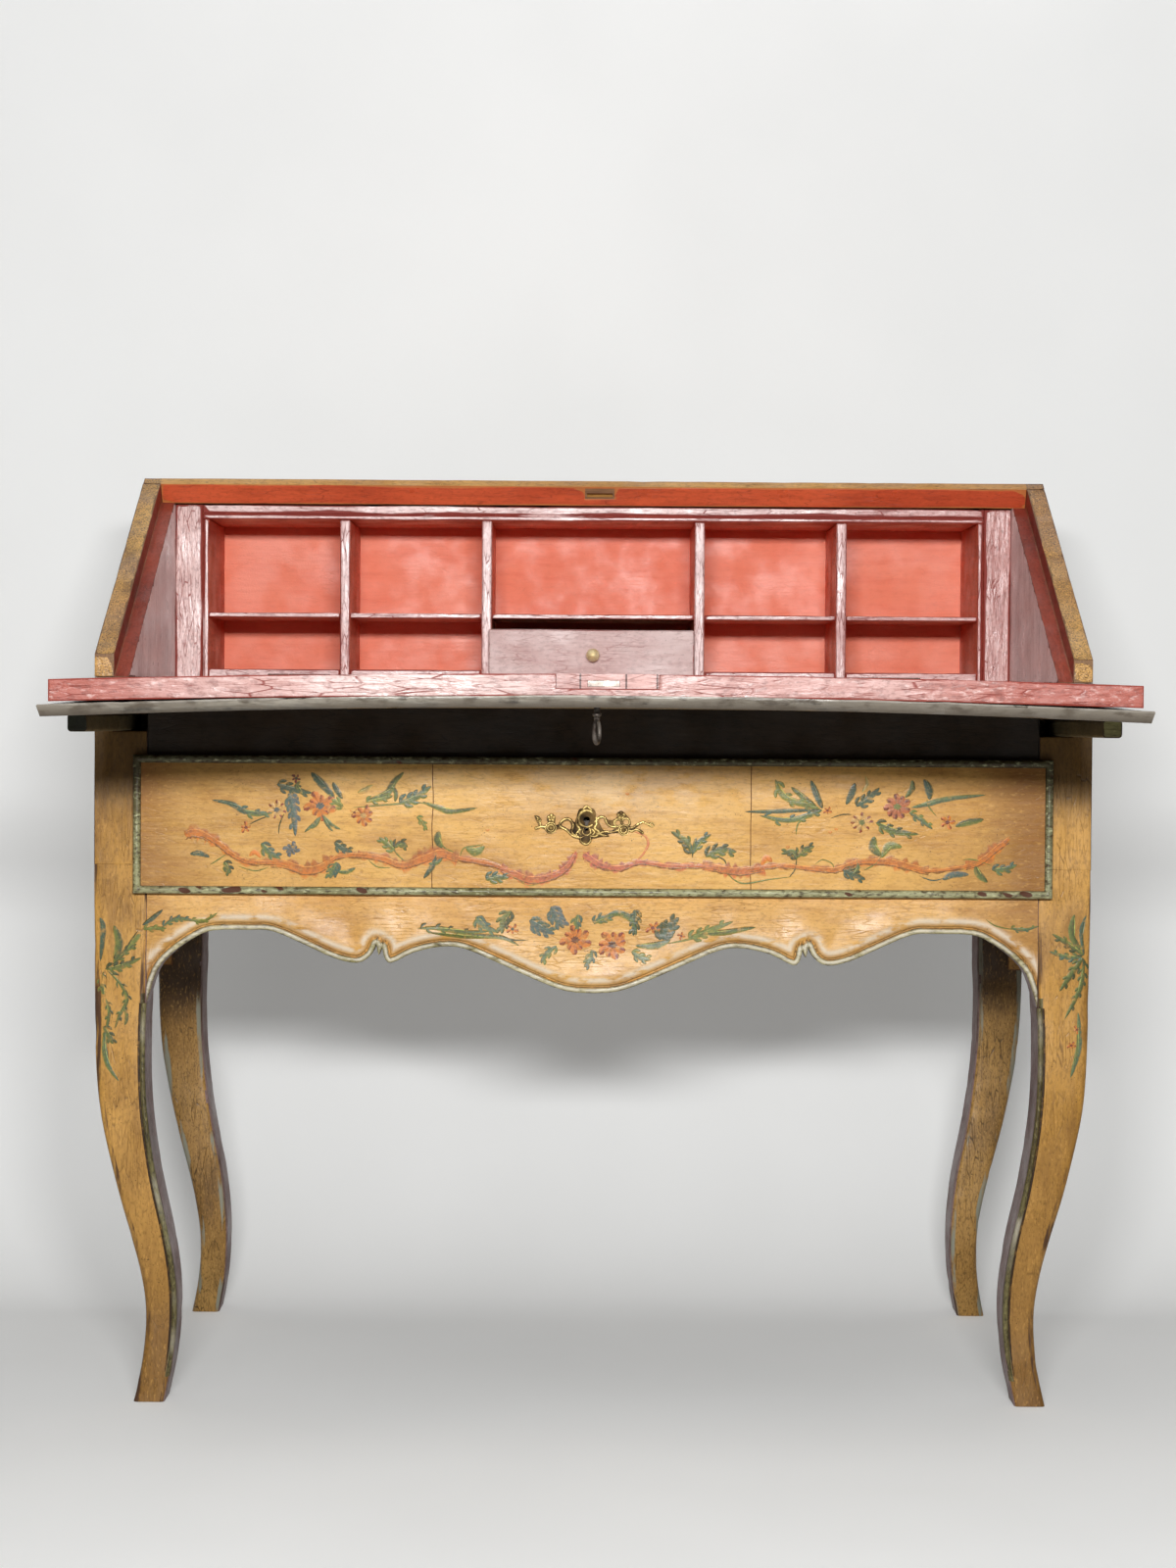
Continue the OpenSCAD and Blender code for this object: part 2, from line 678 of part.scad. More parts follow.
module fall_inner_board() {
    color("indianred") place() difference() {
        warped_board(fall_w, fall_l, writing_z - fall_inner_t, writing_z, inner_warp, 0);
        for (x = [-hinge_x, hinge_x]) {
            block([x - hinge_l / 2, -leaf_w, writing_z - leaf_t], [x + hinge_l / 2, 1, writing_z + 1]);
            translate([x - hinge_l / 2, 0, writing_z]) rotate([0, 90, 0])
                cylinder(d = knuckle_d + 2 * slip, h = hinge_l);
        }
        block([plate_x - plate_w / 2, -fall_l - 1, writing_z - lock_h],
            [plate_x + plate_w / 2, -fall_l + 2, writing_z + 1]);
        block([bolt_x - lock_w / 2, -fall_l - 1, writing_z - lock_h],
            [bolt_x + lock_w / 2, -fall_l + lock_d, writing_z + 1]);
        key_way();
    }
}

module fall_outer_board() {
    z1 = writing_z - fall_inner_t;
    color("darkolivegreen") place() difference() {
        warped_board(outer_w, fall_reach, z1 - fall_outer_t, z1, outer_warp, outer_taper);
        key_way();
    }
}

// The fall's lock: an edge plate and a case let into the inner face, hollow for the bolt
module fall_lock() {
    z0 = writing_z - lock_h;
    color("slategray") place() difference() {
        union() {
            block([plate_x - plate_w / 2, -fall_l, z0], [plate_x + plate_w / 2, -fall_l + 2, writing_z]);
            block([bolt_x - lock_w / 2, -fall_l, z0], [bolt_x + lock_w / 2, -fall_l + lock_d, writing_z]);
        }
        block([bolt_x - lock_w / 2 + lock_wall, -fall_l + 2, z0 + lock_wall],
            [bolt_x + lock_w / 2 - lock_wall, -fall_l + lock_d - lock_wall, writing_z - lock_wall]);
        block([bolt_x - bolt_w / 2 - slip, -fall_l - 1, writing_z - bolt_drop - bolt_t - slip],
            [bolt_x + bolt_w / 2 + slip, -fall_l + 3, writing_z - bolt_drop + slip]);
        translate([key_x, key_y, z0 - 1]) cylinder(d = keyhole_d, h = lock_wall + 2);
        block([key_x, key_y - bit_t / 2 - 0.5, z0 - 1],
            [key_x + bit_r + 0.8, key_y + bit_t / 2 + 0.5, z0 + lock_wall + 1]);
    }
}

// The bolt, with a window in which the key's bit turns
module fall_bolt() {
    z0 = writing_z - bolt_drop - bolt_t;
    color("gray") place() difference() {
        block([bolt_x - bolt_w / 2, -fall_l + slip, z0],
            [bolt_x + bolt_w / 2, key_y + key_d / 2 + bolt_throw + 5, z0 + bolt_t]);
        block([key_x - key_d / 2 - 1, key_y - key_d / 2 - 1.2, z0 - 1],
            [key_x + bit_r + 1.2, key_y + key_d / 2 + bolt_throw + 1.2, z0 + bolt_t + 1]);
    }
}

// The key hangs from the lock, its bow seen nearly on edge from the front
module fall_key() {
    face = writing_z - fall_inner_t - fall_outer_t;
    bow_z = face - 9 - bow_d / 2;
    color("dimgray") place() translate([key_x, key_y, 0]) {
        translate([0, 0, bow_z + bow_d / 2 - bow_wire / 2])
            cylinder(d = key_d, h = key_top - bow_z - bow_d / 2 + bow_wire / 2);
        translate([0, 0, face - 5]) cylinder(d = key_d + 2.4, h = 3);
        block([0, -bit_t / 2, key_top - 1 - bit_h], [bit_r, bit_t / 2, key_top - 1]);
        translate([0, 0, bow_z]) rotate([0, 90, bow_turn])
            rotate_extrude() translate([bow_d / 2 - bow_wire / 2, 0]) circle(d = bow_wire);
    }
}

// A loper, with rounded edges along its length
module loper(side) {
    r = loper_round;
    color("sienna") place() sided(side) across_y(-loper_out, loper_end_y)
        translate([loper_x, loper_z]) {
            translate([r, 0]) square([loper_w - 2 * r, loper_h]);
            translate([0, r]) square([loper_w, loper_h - 2 * r]);
            for (x = [r, loper_w - r], z = [r, loper_h - r]) translate([x, z]) circle(r);
        }
}

module loper_peg(side) {
    color("tan") place() sided(side)
        translate([loper_x - peg_reach, peg_y, loper_z + loper_h / 2]) rotate([0, 90, 0])
            cylinder(d = peg_d, h = peg_reach);
}

module drawer_front() {
    color("burlywood") place() difference() {
        union() {
            block([-lip_x, front_y, lip_z0], [lip_x, -slip, lip_z1]);
            block([-open_x + 1, -slip, floor_z + slip + 0.5], [open_x - 1, front_in_t, rail_z - 1]);
        }
        block([keyhole_x - drawer_lock_w / 2, front_in_t - drawer_lock_t, drawer_lock_top - drawer_lock_h],
            [keyhole_x + drawer_lock_w / 2, front_in_t + 1, rail_z + 1]);
        drawer_keyhole();
    }
}

// The keyhole: a round hole over a slot, straight through the front
module drawer_keyhole() {
    translate([keyhole_x, drawer_cut, keyhole_z]) rotate([90, 0, 0])
        cylinder(d = drawer_hole_d, h = 2 * drawer_cut);
    block([keyhole_x - drawer_slot_w / 2, -drawer_cut, keyhole_z - drawer_slot_h],
        [keyhole_x + drawer_slot_w / 2, drawer_cut, keyhole_z]);
}

// The half-round bead round the drawer front, its ends mitred with round corners
module drawer_bead() {
    r = bead_w / 2;
    x = lip_x - r;
    z0 = lip_z0 + r;
    z1 = lip_z1 - r;
    color("olivedrab") place() difference() {
        translate([0, front_y, 0]) {
            for (z = [z0, z1]) translate([-x, 0, z]) rotate([0, 90, 0]) cylinder(r = r, h = 2 * x);
            for (s = [-x, x]) translate([s, 0, z0]) cylinder(r = r, h = z1 - z0);
            for (s = [-x, x], z = [z0, z1]) translate([s, 0, z]) sphere(r);
        }
        block([-half_w, front_y, 0], [half_w, front_y + 2 * r, case_h]);
    }
}

module drawer_side(side) {
    color("tan") place() sided(side)
        block([drawer_x - drawer_t, front_in_t, drawer_box_z], [drawer_x, drawer_d, drawer_box_top]);
}

module drawer_back() {
    color("tan") place() block([-drawer_x + drawer_t, drawer_d - drawer_t, drawer_box_z],
        [drawer_x - drawer_t, drawer_d, drawer_box_top]);
}

module drawer_bottom() {
    color("tan") place() block([-drawer_x, front_in_t, drawer_low], [drawer_x, drawer_d, drawer_box_z]);
}

// The long drawer's lock, let into the back of the front; the bolt shoots up into the rail
module drawer_lock() {
    y0 = front_in_t - drawer_lock_t;
    color("slategray") place() difference() {
        block([keyhole_x - drawer_lock_w / 2, y0, drawer_lock_top - drawer_lock_h],
            [keyhole_x + drawer_lock_w / 2, front_in_t, drawer_lock_top]);
        block([keyhole_x - drawer_lock_w / 2 + drawer_lock_rim, y0 + lock_wall,
                drawer_lock_top - drawer_lock_h + drawer_lock_rim],
            [keyhole_x + drawer_lock_w / 2 - drawer_lock_rim, front_in_t - lock_wall,
                drawer_lock_top - drawer_lock_rim]);
        block([keyhole_x - drawer_bolt_w / 2 - slip, y0 + 2 - slip,
                drawer_lock_top - drawer_lock_rim - 1],
            [keyhole_x + drawer_bolt_w / 2 + slip, y0 + 2 + drawer_bolt_t + slip, drawer_lock_top + 1]);
        intersection() {
            drawer_keyhole();
            block([-half_w, 0, 0], [half_w, y0 + lock_wall + 1, case_h]);
        }
    }
}

module drawer_bolt() {
    y0 = front_in_t - drawer_lock_t + 2;
    color("gray") place() block([keyhole_x - drawer_bolt_w / 2, y0, drawer_lock_top - drawer_bolt_h],
        [keyhole_x + drawer_bolt_w / 2, y0 + drawer_bolt_t, drawer_lock_top - slip]);
}

// Outline of the openwork plate, in millimetres from its keyhole, before it is scaled
plate_edge = [
    [0, 14.3], [3, 12.5], [7.5, 11], [9.5, 6], [9.3, 2], [13, 4.6], [18, 4.2], [21, 1], [26, 0],
    [31, 3.5], [31, 7.5], [35, 9.6], [39, 6.5], [43.5, 2], [45, -3], [44, -6.2], [48, -6.4],
    [52, -3.2], [57, -0.6], [62, -2.2], [66, -1.7], [69, -4.3], [66, -6.9], [62, -5], [57, -2.8],
    [50, -7.8], [54, -8.6], [58, -12], [56, -14], [50.5, -10.2], [46, -11.8], [43, -12],
    [37.7, -15.4], [32.5, -13], [22, -14], [23, -16.8], [17, -16.6], [9, -18.5], [5, -19.5],
    [4, -23], [0, -25.6], [-5, -24], [-8, -19.5], [-14, -17.8], [-20, -12], [-26, -9.2],
    [-31.5, -10.5], [-36.4, -13.8], [-41, -11], [-46, -8.4], [-51, -10.2], [-53, -8], [-49, -6],
    [-51, -1.5], [-53, 4.4], [-47, 2.5], [-46, -4.5], [-42, -5.5], [-39.5, -2.8], [-40.8, 1.5],
    [-36.5, 6.4], [-32, 3.5], [-32, -4], [-29, -4.5], [-24, 1.6], [-18, 2.4], [-11, -3],
    [-9.8, 5], [-7.5, 11], [-3, 12.5]];
plate_left_hole = [[-25.5, -5], [-22, -1.2], [-17.5, -1.2], [-15.6, -6], [-17, -9.5], [-21, -7.6]];
plate_right_hole = [[12.5, 0], [17, 1.8], [19, -2], [23, -6], [28, -8.4], [25, -10.6],
    [17.5, -10], [14.5, -6]];

module drawer_escutcheon() {
    color("gold") place() difference() {
        across_y(front_y - escutcheon_t, front_y) translate([keyhole_x, keyhole_z])
            scale(escutcheon_w / 122) difference() {
                polygon(closed(plate_edge, curve_steps));
                polygon(closed(plate_left_hole, curve_steps));
                polygon(closed(plate_right_hole, curve_steps));
                for (c = [[31.5, -2.6, 2.6], [39.8, -1.8, 2.8], [66.2, -4.3, 1.2]])
                    translate([c[0], c[1]]) circle(c[2]);
            }
        drawer_keyhole();
    }
}

// The gallery's top, notched at the front for the stiles, with the groove above its bead
module gallery_top() {
    frame_x = end_x + end_t;
    bead_top = hole_top + frame_bead_w;
    stile_back = gallery_y + stile_t;
    color("rosybrown") place() difference() {
        translate([0, 0, hole_top]) linear_extrude(gallery_top_t)
            polygon([[-frame_x, gallery_y], [frame_x, gallery_y], [frame_x, stile_back],
                [inner_x, stile_back], [inner_x, back_y], [-inner_x, back_y],
                [-inner_x, stile_back], [-frame_x, stile_back]]);
        block([-inner_x, gallery_y - 1, bead_top],
            [inner_x, gallery_y + frame_groove, bead_top + frame_groove]);
    }
}

module gallery_floor() {
    color("rosybrown") place() for (side = [-1, 1]) sided(side)
        for (x = [divider_1 + divider_t, divider_2 + divider_t])
            block([x, gallery_y, writing_z], [x + hole_w, back_y, writing_z + gallery_floor_t]);
}

// An end of the gallery; a groove parts the bead on its front edge from the stile
module gallery_end(side) {
    groove_y = gallery_y + frame_groove;
    groove_x = end_x + end_t - frame_groove;
    color("rosybrown") place() sided(side)
        translate([0, 0, writing_z]) linear_extrude(hole_top - writing_z)
            polygon([[end_x, gallery_y], [groove_x, gallery_y], [groove_x, groove_y],
                [end_x + end_t, groove_y], [end_x + end_t, back_y], [end_x, back_y]]);
}

// Stiles between the gallery's ends and the case sides
module gallery_stiles() {
    color("rosybrown") place() for (side = [-1, 1]) sided(side)
        block([end_x + end_t, gallery_y, writing_z],
            [inner_x, gallery_y + stile_t, writing_z + gallery_h]);
}

module gallery_shelves() {
    spans = [[-divider_1, divider_1], [divider_1 + divider_t, divider_2],
        [divider_2 + divider_t, end_x], [-divider_2, -divider_1 - divider_t],
        [-end_x, -divider_2 - divider_t]];
    color("rosybrown") place() for (s = spans)
        block([s[0], gallery_y + 1, shelf_low], [s[1], back_y, shelf_low + shelf_t]);
}

module divider(x, side) {
    color("rosybrown") place() sided(side)
        block([x, gallery_y, writing_z], [x + divider_t, back_y, hole_top]);
}

module small_drawer_front() {
    color("burlywood") place() block([small_off - small_w / 2, small_front_y, writing_z + small_z],
        [small_off + small_w / 2, small_front_y + small_t, writing_z + small_z + small_h]);
}

module small_drawer_side(side) {
    color("tan") place() sided(side)
        block([small_x - small_side_t, small_front_y + small_t, small_low + small_floor_t],
            [small_x, small_back, small_top]);
}

module small_drawer_back() {
    color("tan") place()
        block([-small_x + small_side_t, small_back - small_side_t, small_low + small_floor_t],
            [small_x - small_side_t, small_back, small_top]);
}

module small_drawer_bottom() {
    color("tan") place()
        block([-small_x, small_front_y + small_t, small_low],
            [small_x, small_back, small_low + small_floor_t]);
}

module small_drawer_knob() {
    z = writing_z + small_z + small_h / 2 - 1.5;
    color("gold") place() translate([0, small_front_y, z]) rotate([90, 0, 0]) {
        cylinder(d = 0.6 * knob_d, h = 1.6);
        cylinder(d = 0.4 * knob_d, h = knob_d / 2);
        translate([0, 0, knob_d / 2 + 2.5]) sphere(d = knob_d);
    }
}

front_leg(-1);  // left_front_leg
front_leg(1);  // right_front_leg
back_leg(-1);  // left_back_leg
back_leg(1);  // right_back_leg
side_panel(-1);  // left_side_panel
side_panel(1);  // right_side_panel
slant_side(-1);  // left_slant_side
slant_side(1);  // right_slant_side
top_board();
upper_back();
lower_back();
writing_board();
frieze_rail();
front_apron();
back_rail();
loper_channel(-1);  // left_loper_channel
loper_channel(1);  // right_loper_channel
drawer_runner(-1);  // left_drawer_runner
drawer_runner(1);  // right_drawer_runner
glue_blocks();
lock_keeper();
hinge_case_leaves();
hinge_pins();
hinge_fall_leaves();
fall_inner_board();
fall_outer_board();
fall_lock();
fall_bolt();
fall_key();
loper(-1);  // left_loper
loper_peg(-1);  // left_loper_peg
loper(1);  // right_loper
loper_peg(1);  // right_loper_peg
drawer_front();
drawer_bead();
drawer_side(-1);  // drawer_left_side
drawer_side(1);  // drawer_right_side
drawer_back();
drawer_bottom();
drawer_lock();
drawer_bolt();
drawer_escutcheon();
gallery_top();
gallery_floor();
gallery_end(-1);  // gallery_left_end
gallery_end(1);  // gallery_right_end
gallery_stiles();
gallery_shelves();
divider(divider_2, -1);  // divider_outer_left
divider(divider_1, -1);  // divider_inner_left
divider(divider_1, 1);  // divider_inner_right
divider(divider_2, 1);  // divider_outer_right
small_drawer_front();
small_drawer_side(-1);  // small_drawer_left_side
small_drawer_side(1);  // small_drawer_right_side
small_drawer_back();
small_drawer_bottom();
small_drawer_knob();
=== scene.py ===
import json
import math

import bmesh
import bpy
import numpy as np
from bpy.props import FloatProperty, FloatVectorProperty, IntProperty, PointerProperty
from bpy.types import Operator, Panel, PropertyGroup
from mathutils import Matrix, Vector


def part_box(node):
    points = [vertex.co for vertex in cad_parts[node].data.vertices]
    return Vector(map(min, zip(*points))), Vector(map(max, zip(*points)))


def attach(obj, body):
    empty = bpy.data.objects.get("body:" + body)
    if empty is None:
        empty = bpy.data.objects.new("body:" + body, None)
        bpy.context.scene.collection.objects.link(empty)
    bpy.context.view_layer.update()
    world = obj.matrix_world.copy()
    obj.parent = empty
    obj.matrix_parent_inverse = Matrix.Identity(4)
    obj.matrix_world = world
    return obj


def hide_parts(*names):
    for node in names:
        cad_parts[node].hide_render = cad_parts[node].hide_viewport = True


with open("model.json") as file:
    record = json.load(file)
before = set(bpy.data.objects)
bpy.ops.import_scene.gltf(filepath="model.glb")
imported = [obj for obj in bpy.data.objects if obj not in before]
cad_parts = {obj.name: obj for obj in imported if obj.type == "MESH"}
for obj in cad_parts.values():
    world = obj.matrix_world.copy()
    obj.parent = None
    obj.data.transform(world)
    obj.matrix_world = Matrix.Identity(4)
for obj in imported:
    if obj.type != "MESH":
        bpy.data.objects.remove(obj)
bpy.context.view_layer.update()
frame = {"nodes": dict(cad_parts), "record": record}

bl_info = {
    "name": "Slant-front desk",
    "version": (1, 0, 0),
    "blender": (4, 5, 0),
    "location": "3D View > Sidebar > Desk",
    "description": "Builds the finish and the fine shapes of a painted slant-front desk",
    "category": "Add Mesh",
}

MM = 0.001

# Places that the pieces share, in metres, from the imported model
CASE_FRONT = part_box("frieze_rail")[0].y
CASE_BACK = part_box("upper_back")[1].y
WRITING_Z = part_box("writing_board")[1].z
CASE_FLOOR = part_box("front_apron")[1].z
HALF_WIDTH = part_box("top_board")[1].x
POST_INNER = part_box("frieze_rail")[1].x
POST_DEPTH = 56 * MM
RIM_WIDTH = 20 * MM
OUTER_WARP = 11 * MM

# Old boards: the length of their ripple and of their chips, and how far edge wear reaches
RIPPLE_LENGTH, CHIP_LENGTH, WEAR_WIDTH = 160 * MM, 30 * MM, 1.5 * MM

# The camera stands a little to the left of the middle; its yaw, pitch and roll in degrees
CAMERA_ASIDE, CAMERA_TURNS = -14.3 * MM, (-0.172, 1.301, 0.364)

# The lamps but for the front one's power: place, aim and size, in metres, and watts
FRONT_BOX = (0, CASE_FRONT - 2.9, 1.19), (0, CASE_FRONT, 0.62), (0.95, 0.17)
OVERHEAD = (0, CASE_FRONT - 1.4, 2.9), (0, CASE_FRONT + 0.2, 0.6), (2.6, 1.2), 14
BACK_WASH = (0, CASE_BACK + 0.34, 1.9), (0, CASE_BACK, 0.7), (1.8, 0.3), 4


def srgb(red, green, blue):
    """A colour of 0 to 255 levels in Blender's linear values."""
    levels = np.array([red, green, blue]) / 255
    linear = np.where(levels <= 0.04045, levels / 12.92, ((levels + 0.055) / 1.055) ** 2.4)
    return tuple(float(v) for v in linear)


def ripple(points, seed, size, waves=7):
    """A smooth unevenness of about -1 to 1: the mean of sine waves of about the given length,
    each along its own direction, drawn from the seed."""
    rng = np.random.default_rng(seed)
    turn = rng.normal(size=(waves, 3))
    turn /= np.linalg.norm(turn, axis=1, keepdims=True)
    rate = 2 * np.pi / size * rng.uniform(0.6, 1.6, waves)
    phase = rng.uniform(0, 2 * np.pi, waves)
    return np.sin(points @ (turn * rate[:, None]).T + phase).mean(1) * 1.8


def smooth_path(points, steps):
    """A Catmull-Rom curve through the points, with the given steps from one to the next."""
    p = np.asarray(points, float)
    before = np.vstack([p[:1], p[:-1]])[: len(p) - 1]
    after = np.vstack([p[2:], p[-1:]])
    t = (np.arange(steps) / steps)[None, :, None]
    p0, p1, p2, p3 = (v[:, None, :] for v in (before, p[:-1], p[1:], after))
    curve = 0.5 * (2 * p1 + (p2 - p0) * t + (2 * p0 - 5 * p1 + 4 * p2 - p3) * t ** 2
                   + (3 * p1 - p0 - 3 * p2 + p3) * t ** 3)
    return np.vstack([curve.reshape(-1, p.shape[1]), p[-1:]])


def grid_faces(rows, cols, wrap=False):
    """Quads of a grid of rows by cols points; wrap joins the last column to the first."""
    number = np.arange(rows * cols).reshape(rows, cols)
    if wrap:
        number = np.hstack([number, number[:, :1]])
    return np.stack([number[:-1, :-1], number[1:, :-1], number[1:, 1:], number[:-1, 1:]],
                    -1).reshape(-1, 4)


def rope_faces(rings, sides, flip=False):
    """Faces of a closed rope of rings, shut by a fan round each of the two points that come
    after the rings; flip turns the fans over."""
    here, after = np.arange(sides), (np.arange(sides) + 1) % sides
    if flip:
        here, after = after, here
    last, tip = (rings - 1) * sides, np.full(sides, rings * sides)
    return (grid_faces(rings, sides, wrap=True).tolist()
            + np.stack([here, after, tip], 1).tolist()
            + np.stack([last + after, last + here, tip + 1], 1).tolist())


def node_points(node):
    """The points of a CAD node's mesh."""
    mesh = frame["nodes"][node].data
    points = np.empty(len(mesh.vertices) * 3)
    mesh.vertices.foreach_get("co", points)
    return points.reshape(-1, 3)


class Shape:
    """The points, faces and point marks of one piece, gathered part by part."""

    def __init__(self):
        self.points, self.faces, self.marks, self.count = [], [], {}, 0

    def add(self, points, faces, **marks):
        """Adds points, faces that count from the first of them, and values of point marks."""
        points = np.asarray(points, float).reshape(-1, 3)
        self.faces += [(np.asarray(f) + self.count).tolist() for f in faces]
        self.points.append(points)
        for name in set(self.marks) | set(marks):
            self.marks.setdefault(name, [])
            self.marks[name].append((self.count, marks.get(name)))
        self.count += len(points)
        return self

    def sweep(self, path, profile, width, height, up=(0, 0, 1), marks=None):
        """A closed rope of the given profile along a path: each ring is the profile, scaled
        by width and height there, in the plane across the path, and a fan shuts each end."""
        path = np.asarray(path, float)
        n, k = len(path), len(profile)
        tangent = np.gradient(path, axis=0)
        tangent /= np.linalg.norm(tangent, axis=1, keepdims=True) + 1e-12
        side = np.cross(tangent, np.asarray(up, float))
        side /= np.linalg.norm(side, axis=1, keepdims=True) + 1e-12
        rise = np.cross(side, tangent)
        profile = np.asarray(profile, float)
        width, height = np.broadcast_to(width, n), np.broadcast_to(height, n)
        ring = (path[:, None] + side[:, None] * (profile[None, :, :1] * width[:, None, None])
                + rise[:, None] * (profile[None, :, 1:] * height[:, None, None]))
        points = np.vstack([ring.reshape(-1, 3), path[:1], path[-1:]])
        full = {name: np.append(values, (0, 0)) for name, values in (marks or {}).items()}
        return self.add(points, rope_faces(n, k), **full)


def circle(sides):
    """A round profile for Shape.sweep."""
    angle = np.arange(sides) / sides * 2 * np.pi
    return np.stack([np.cos(angle), np.sin(angle)], 1)


def build(shape, name, body, materials, replaces=(), flat=40, picks=None):
    """Makes the piece's object from its shape, turns its faces outwards, and ties it to its
    body, its finish and the CAD nodes that it stands for."""
    mesh = bpy.data.meshes.new(name)
    points = np.vstack(shape.points)
    mesh.from_pydata(points.tolist(), [], shape.faces)
    for mark, parts in shape.marks.items():
        wide = next(np.asarray(v).ndim > 1 for _, v in parts if v is not None)
        values = np.zeros((len(points), 4) if wide else len(points))
        for start, part in parts:
            if part is not None:
                values[start:start + len(part)] = part
        kind, field = ("FLOAT_COLOR", "color") if wide else ("FLOAT", "value")
        mesh.attributes.new(mark, kind, "POINT").data.foreach_set(
            field, values.astype(np.float32).ravel())
    return dress(mesh, name, body, materials, replaces, flat, picks)


def dress(mesh, name, body, materials, replaces=(), flat=40, picks=None, turn=True):
    """Finishes a mesh as a piece: outward faces, smooth shading up to the given angle, its
    materials, its body and the nodes that it stands for. picks(centres, normals) chooses the
    material of each face."""
    if turn:
        work = bmesh.new()
        work.from_mesh(mesh)
        bmesh.ops.recalc_face_normals(work, faces=work.faces)
        work.to_mesh(mesh)
        work.free()
    mesh.shade_smooth()
    mesh.set_sharp_from_angle(angle=math.radians(flat))
    piece = bpy.data.objects.new(name, mesh)
    bpy.context.scene.collection.objects.link(piece)
    for material in materials:
        mesh.materials.append(material)
    if picks is not None:
        count = len(mesh.polygons)
        centres, normals = np.empty(count * 3, np.float32), np.empty(count * 3, np.float32)
        mesh.polygons.foreach_get("center", centres)
        mesh.polygons.foreach_get("normal", normals)
        mesh.polygons.foreach_set("material_index", np.asarray(
            picks(centres.reshape(-1, 3), normals.reshape(-1, 3)), np.int32))
    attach(piece, body)
    if replaces:
        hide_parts(*replaces)
    return piece


def edge_lines(low, high, radius, step, turns=3):
    """Grid lines of one axis of a rounded box: at equal angles round each edge, one up to
    2 mm past it, and about a step apart between the edges."""
    near = radius * (1 - np.tan(np.linspace(math.pi / 4, 0, turns + 1)))
    near = np.append(near, radius + min(2 * MM, 0.25 * (high - low - 2 * radius)))
    start, end = low + near[-1], high - near[-1]
    count = max(1, int(round((end - start) / step)))
    return np.concatenate([low + near, np.linspace(start, end, count + 1)[1:-1],
                           (high - near)[::-1]])


def worn_inward(points, wear, uneven, chips, seed):
    """How far each point of a board lies inside its true face: a ripple everywhere, and
    chips where the mark wear is high."""
    inward = uneven * (0.5 + 0.5 * ripple(points, seed, RIPPLE_LENGTH))
    inward += chips * wear * np.clip(ripple(points, seed + 1, CHIP_LENGTH) * 1.3 - 0.5, 0, 1)
    return np.clip(inward, 0, None)[:, None]


def rounded_box(shape, low, high, radius, step=14 * MM, uneven=0.25 * MM, chips=0.6 * MM,
                seed=1):
    """A board: the points of a box's surface grid are pulled onto a box with round edges,
    then moved inwards by a smooth ripple, and at the edges by chips. The mark wear is 1 at
    an edge and fades within a few millimetres."""
    low, high = np.asarray(low, float), np.asarray(high, float)
    radius = min(radius, 0.45 * (high - low).min())
    lines = [edge_lines(low[a], high[a], radius, step) for a in range(3)]
    counts = [len(line) for line in lines]
    number = np.arange(np.prod(counts)).reshape(counts)

    def quads(grid, flip):
        """Quads of one side of the surface grid."""
        q = np.stack([grid[:-1, :-1], grid[1:, :-1], grid[1:, 1:], grid[:-1, 1:]], -1)
        q = q.reshape(-1, 4)
        return q[:, ::-1] if flip else q

    faces = np.vstack([quads(number[0], True), quads(number[-1], False),
                       quads(number[:, 0], False), quads(number[:, -1], True),
                       quads(number[:, :, 0], True), quads(number[:, :, -1], False)])
    used, faces = np.unique(faces, return_inverse=True)
    index = np.stack(np.unravel_index(used, counts), 1)
    points = np.stack([lines[a][index[:, a]] for a in range(3)], 1)
    core = np.clip(points, low + radius, high - radius)
    out = points - core
    out /= np.linalg.norm(out, axis=1, keepdims=True) + 1e-12
    points = core + radius * out
    reach = np.sort(np.minimum(points - low, high - points), axis=1)[:, 1]
    wear = np.exp(-np.maximum(reach - 0.3 * radius, 0) / WEAR_WIDTH)
    points -= out * worn_inward(points, wear, uneven, chips, seed)
    return shape.add(points, faces.reshape(-1, 4).tolist(), wear=wear)


def board(node, body, wood, radius=1.5 * MM, **more):
    """A plain board of bare wood in place of a CAD node of box form."""
    shape = rounded_box(Shape(), *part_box(node), radius, **more)
    build(shape, node + "_board", body, [MATERIALS[wood]], [node])


def drawer_boards(prefix, body, **more):
    """The sides, the back and the bottom of a drawer."""
    for part, wood in (("left_side", "wood_deep"), ("right_side", "wood_deep"),
                       ("back", "wood"), ("bottom", "wood")):
        board(prefix + part, body, wood, **more)


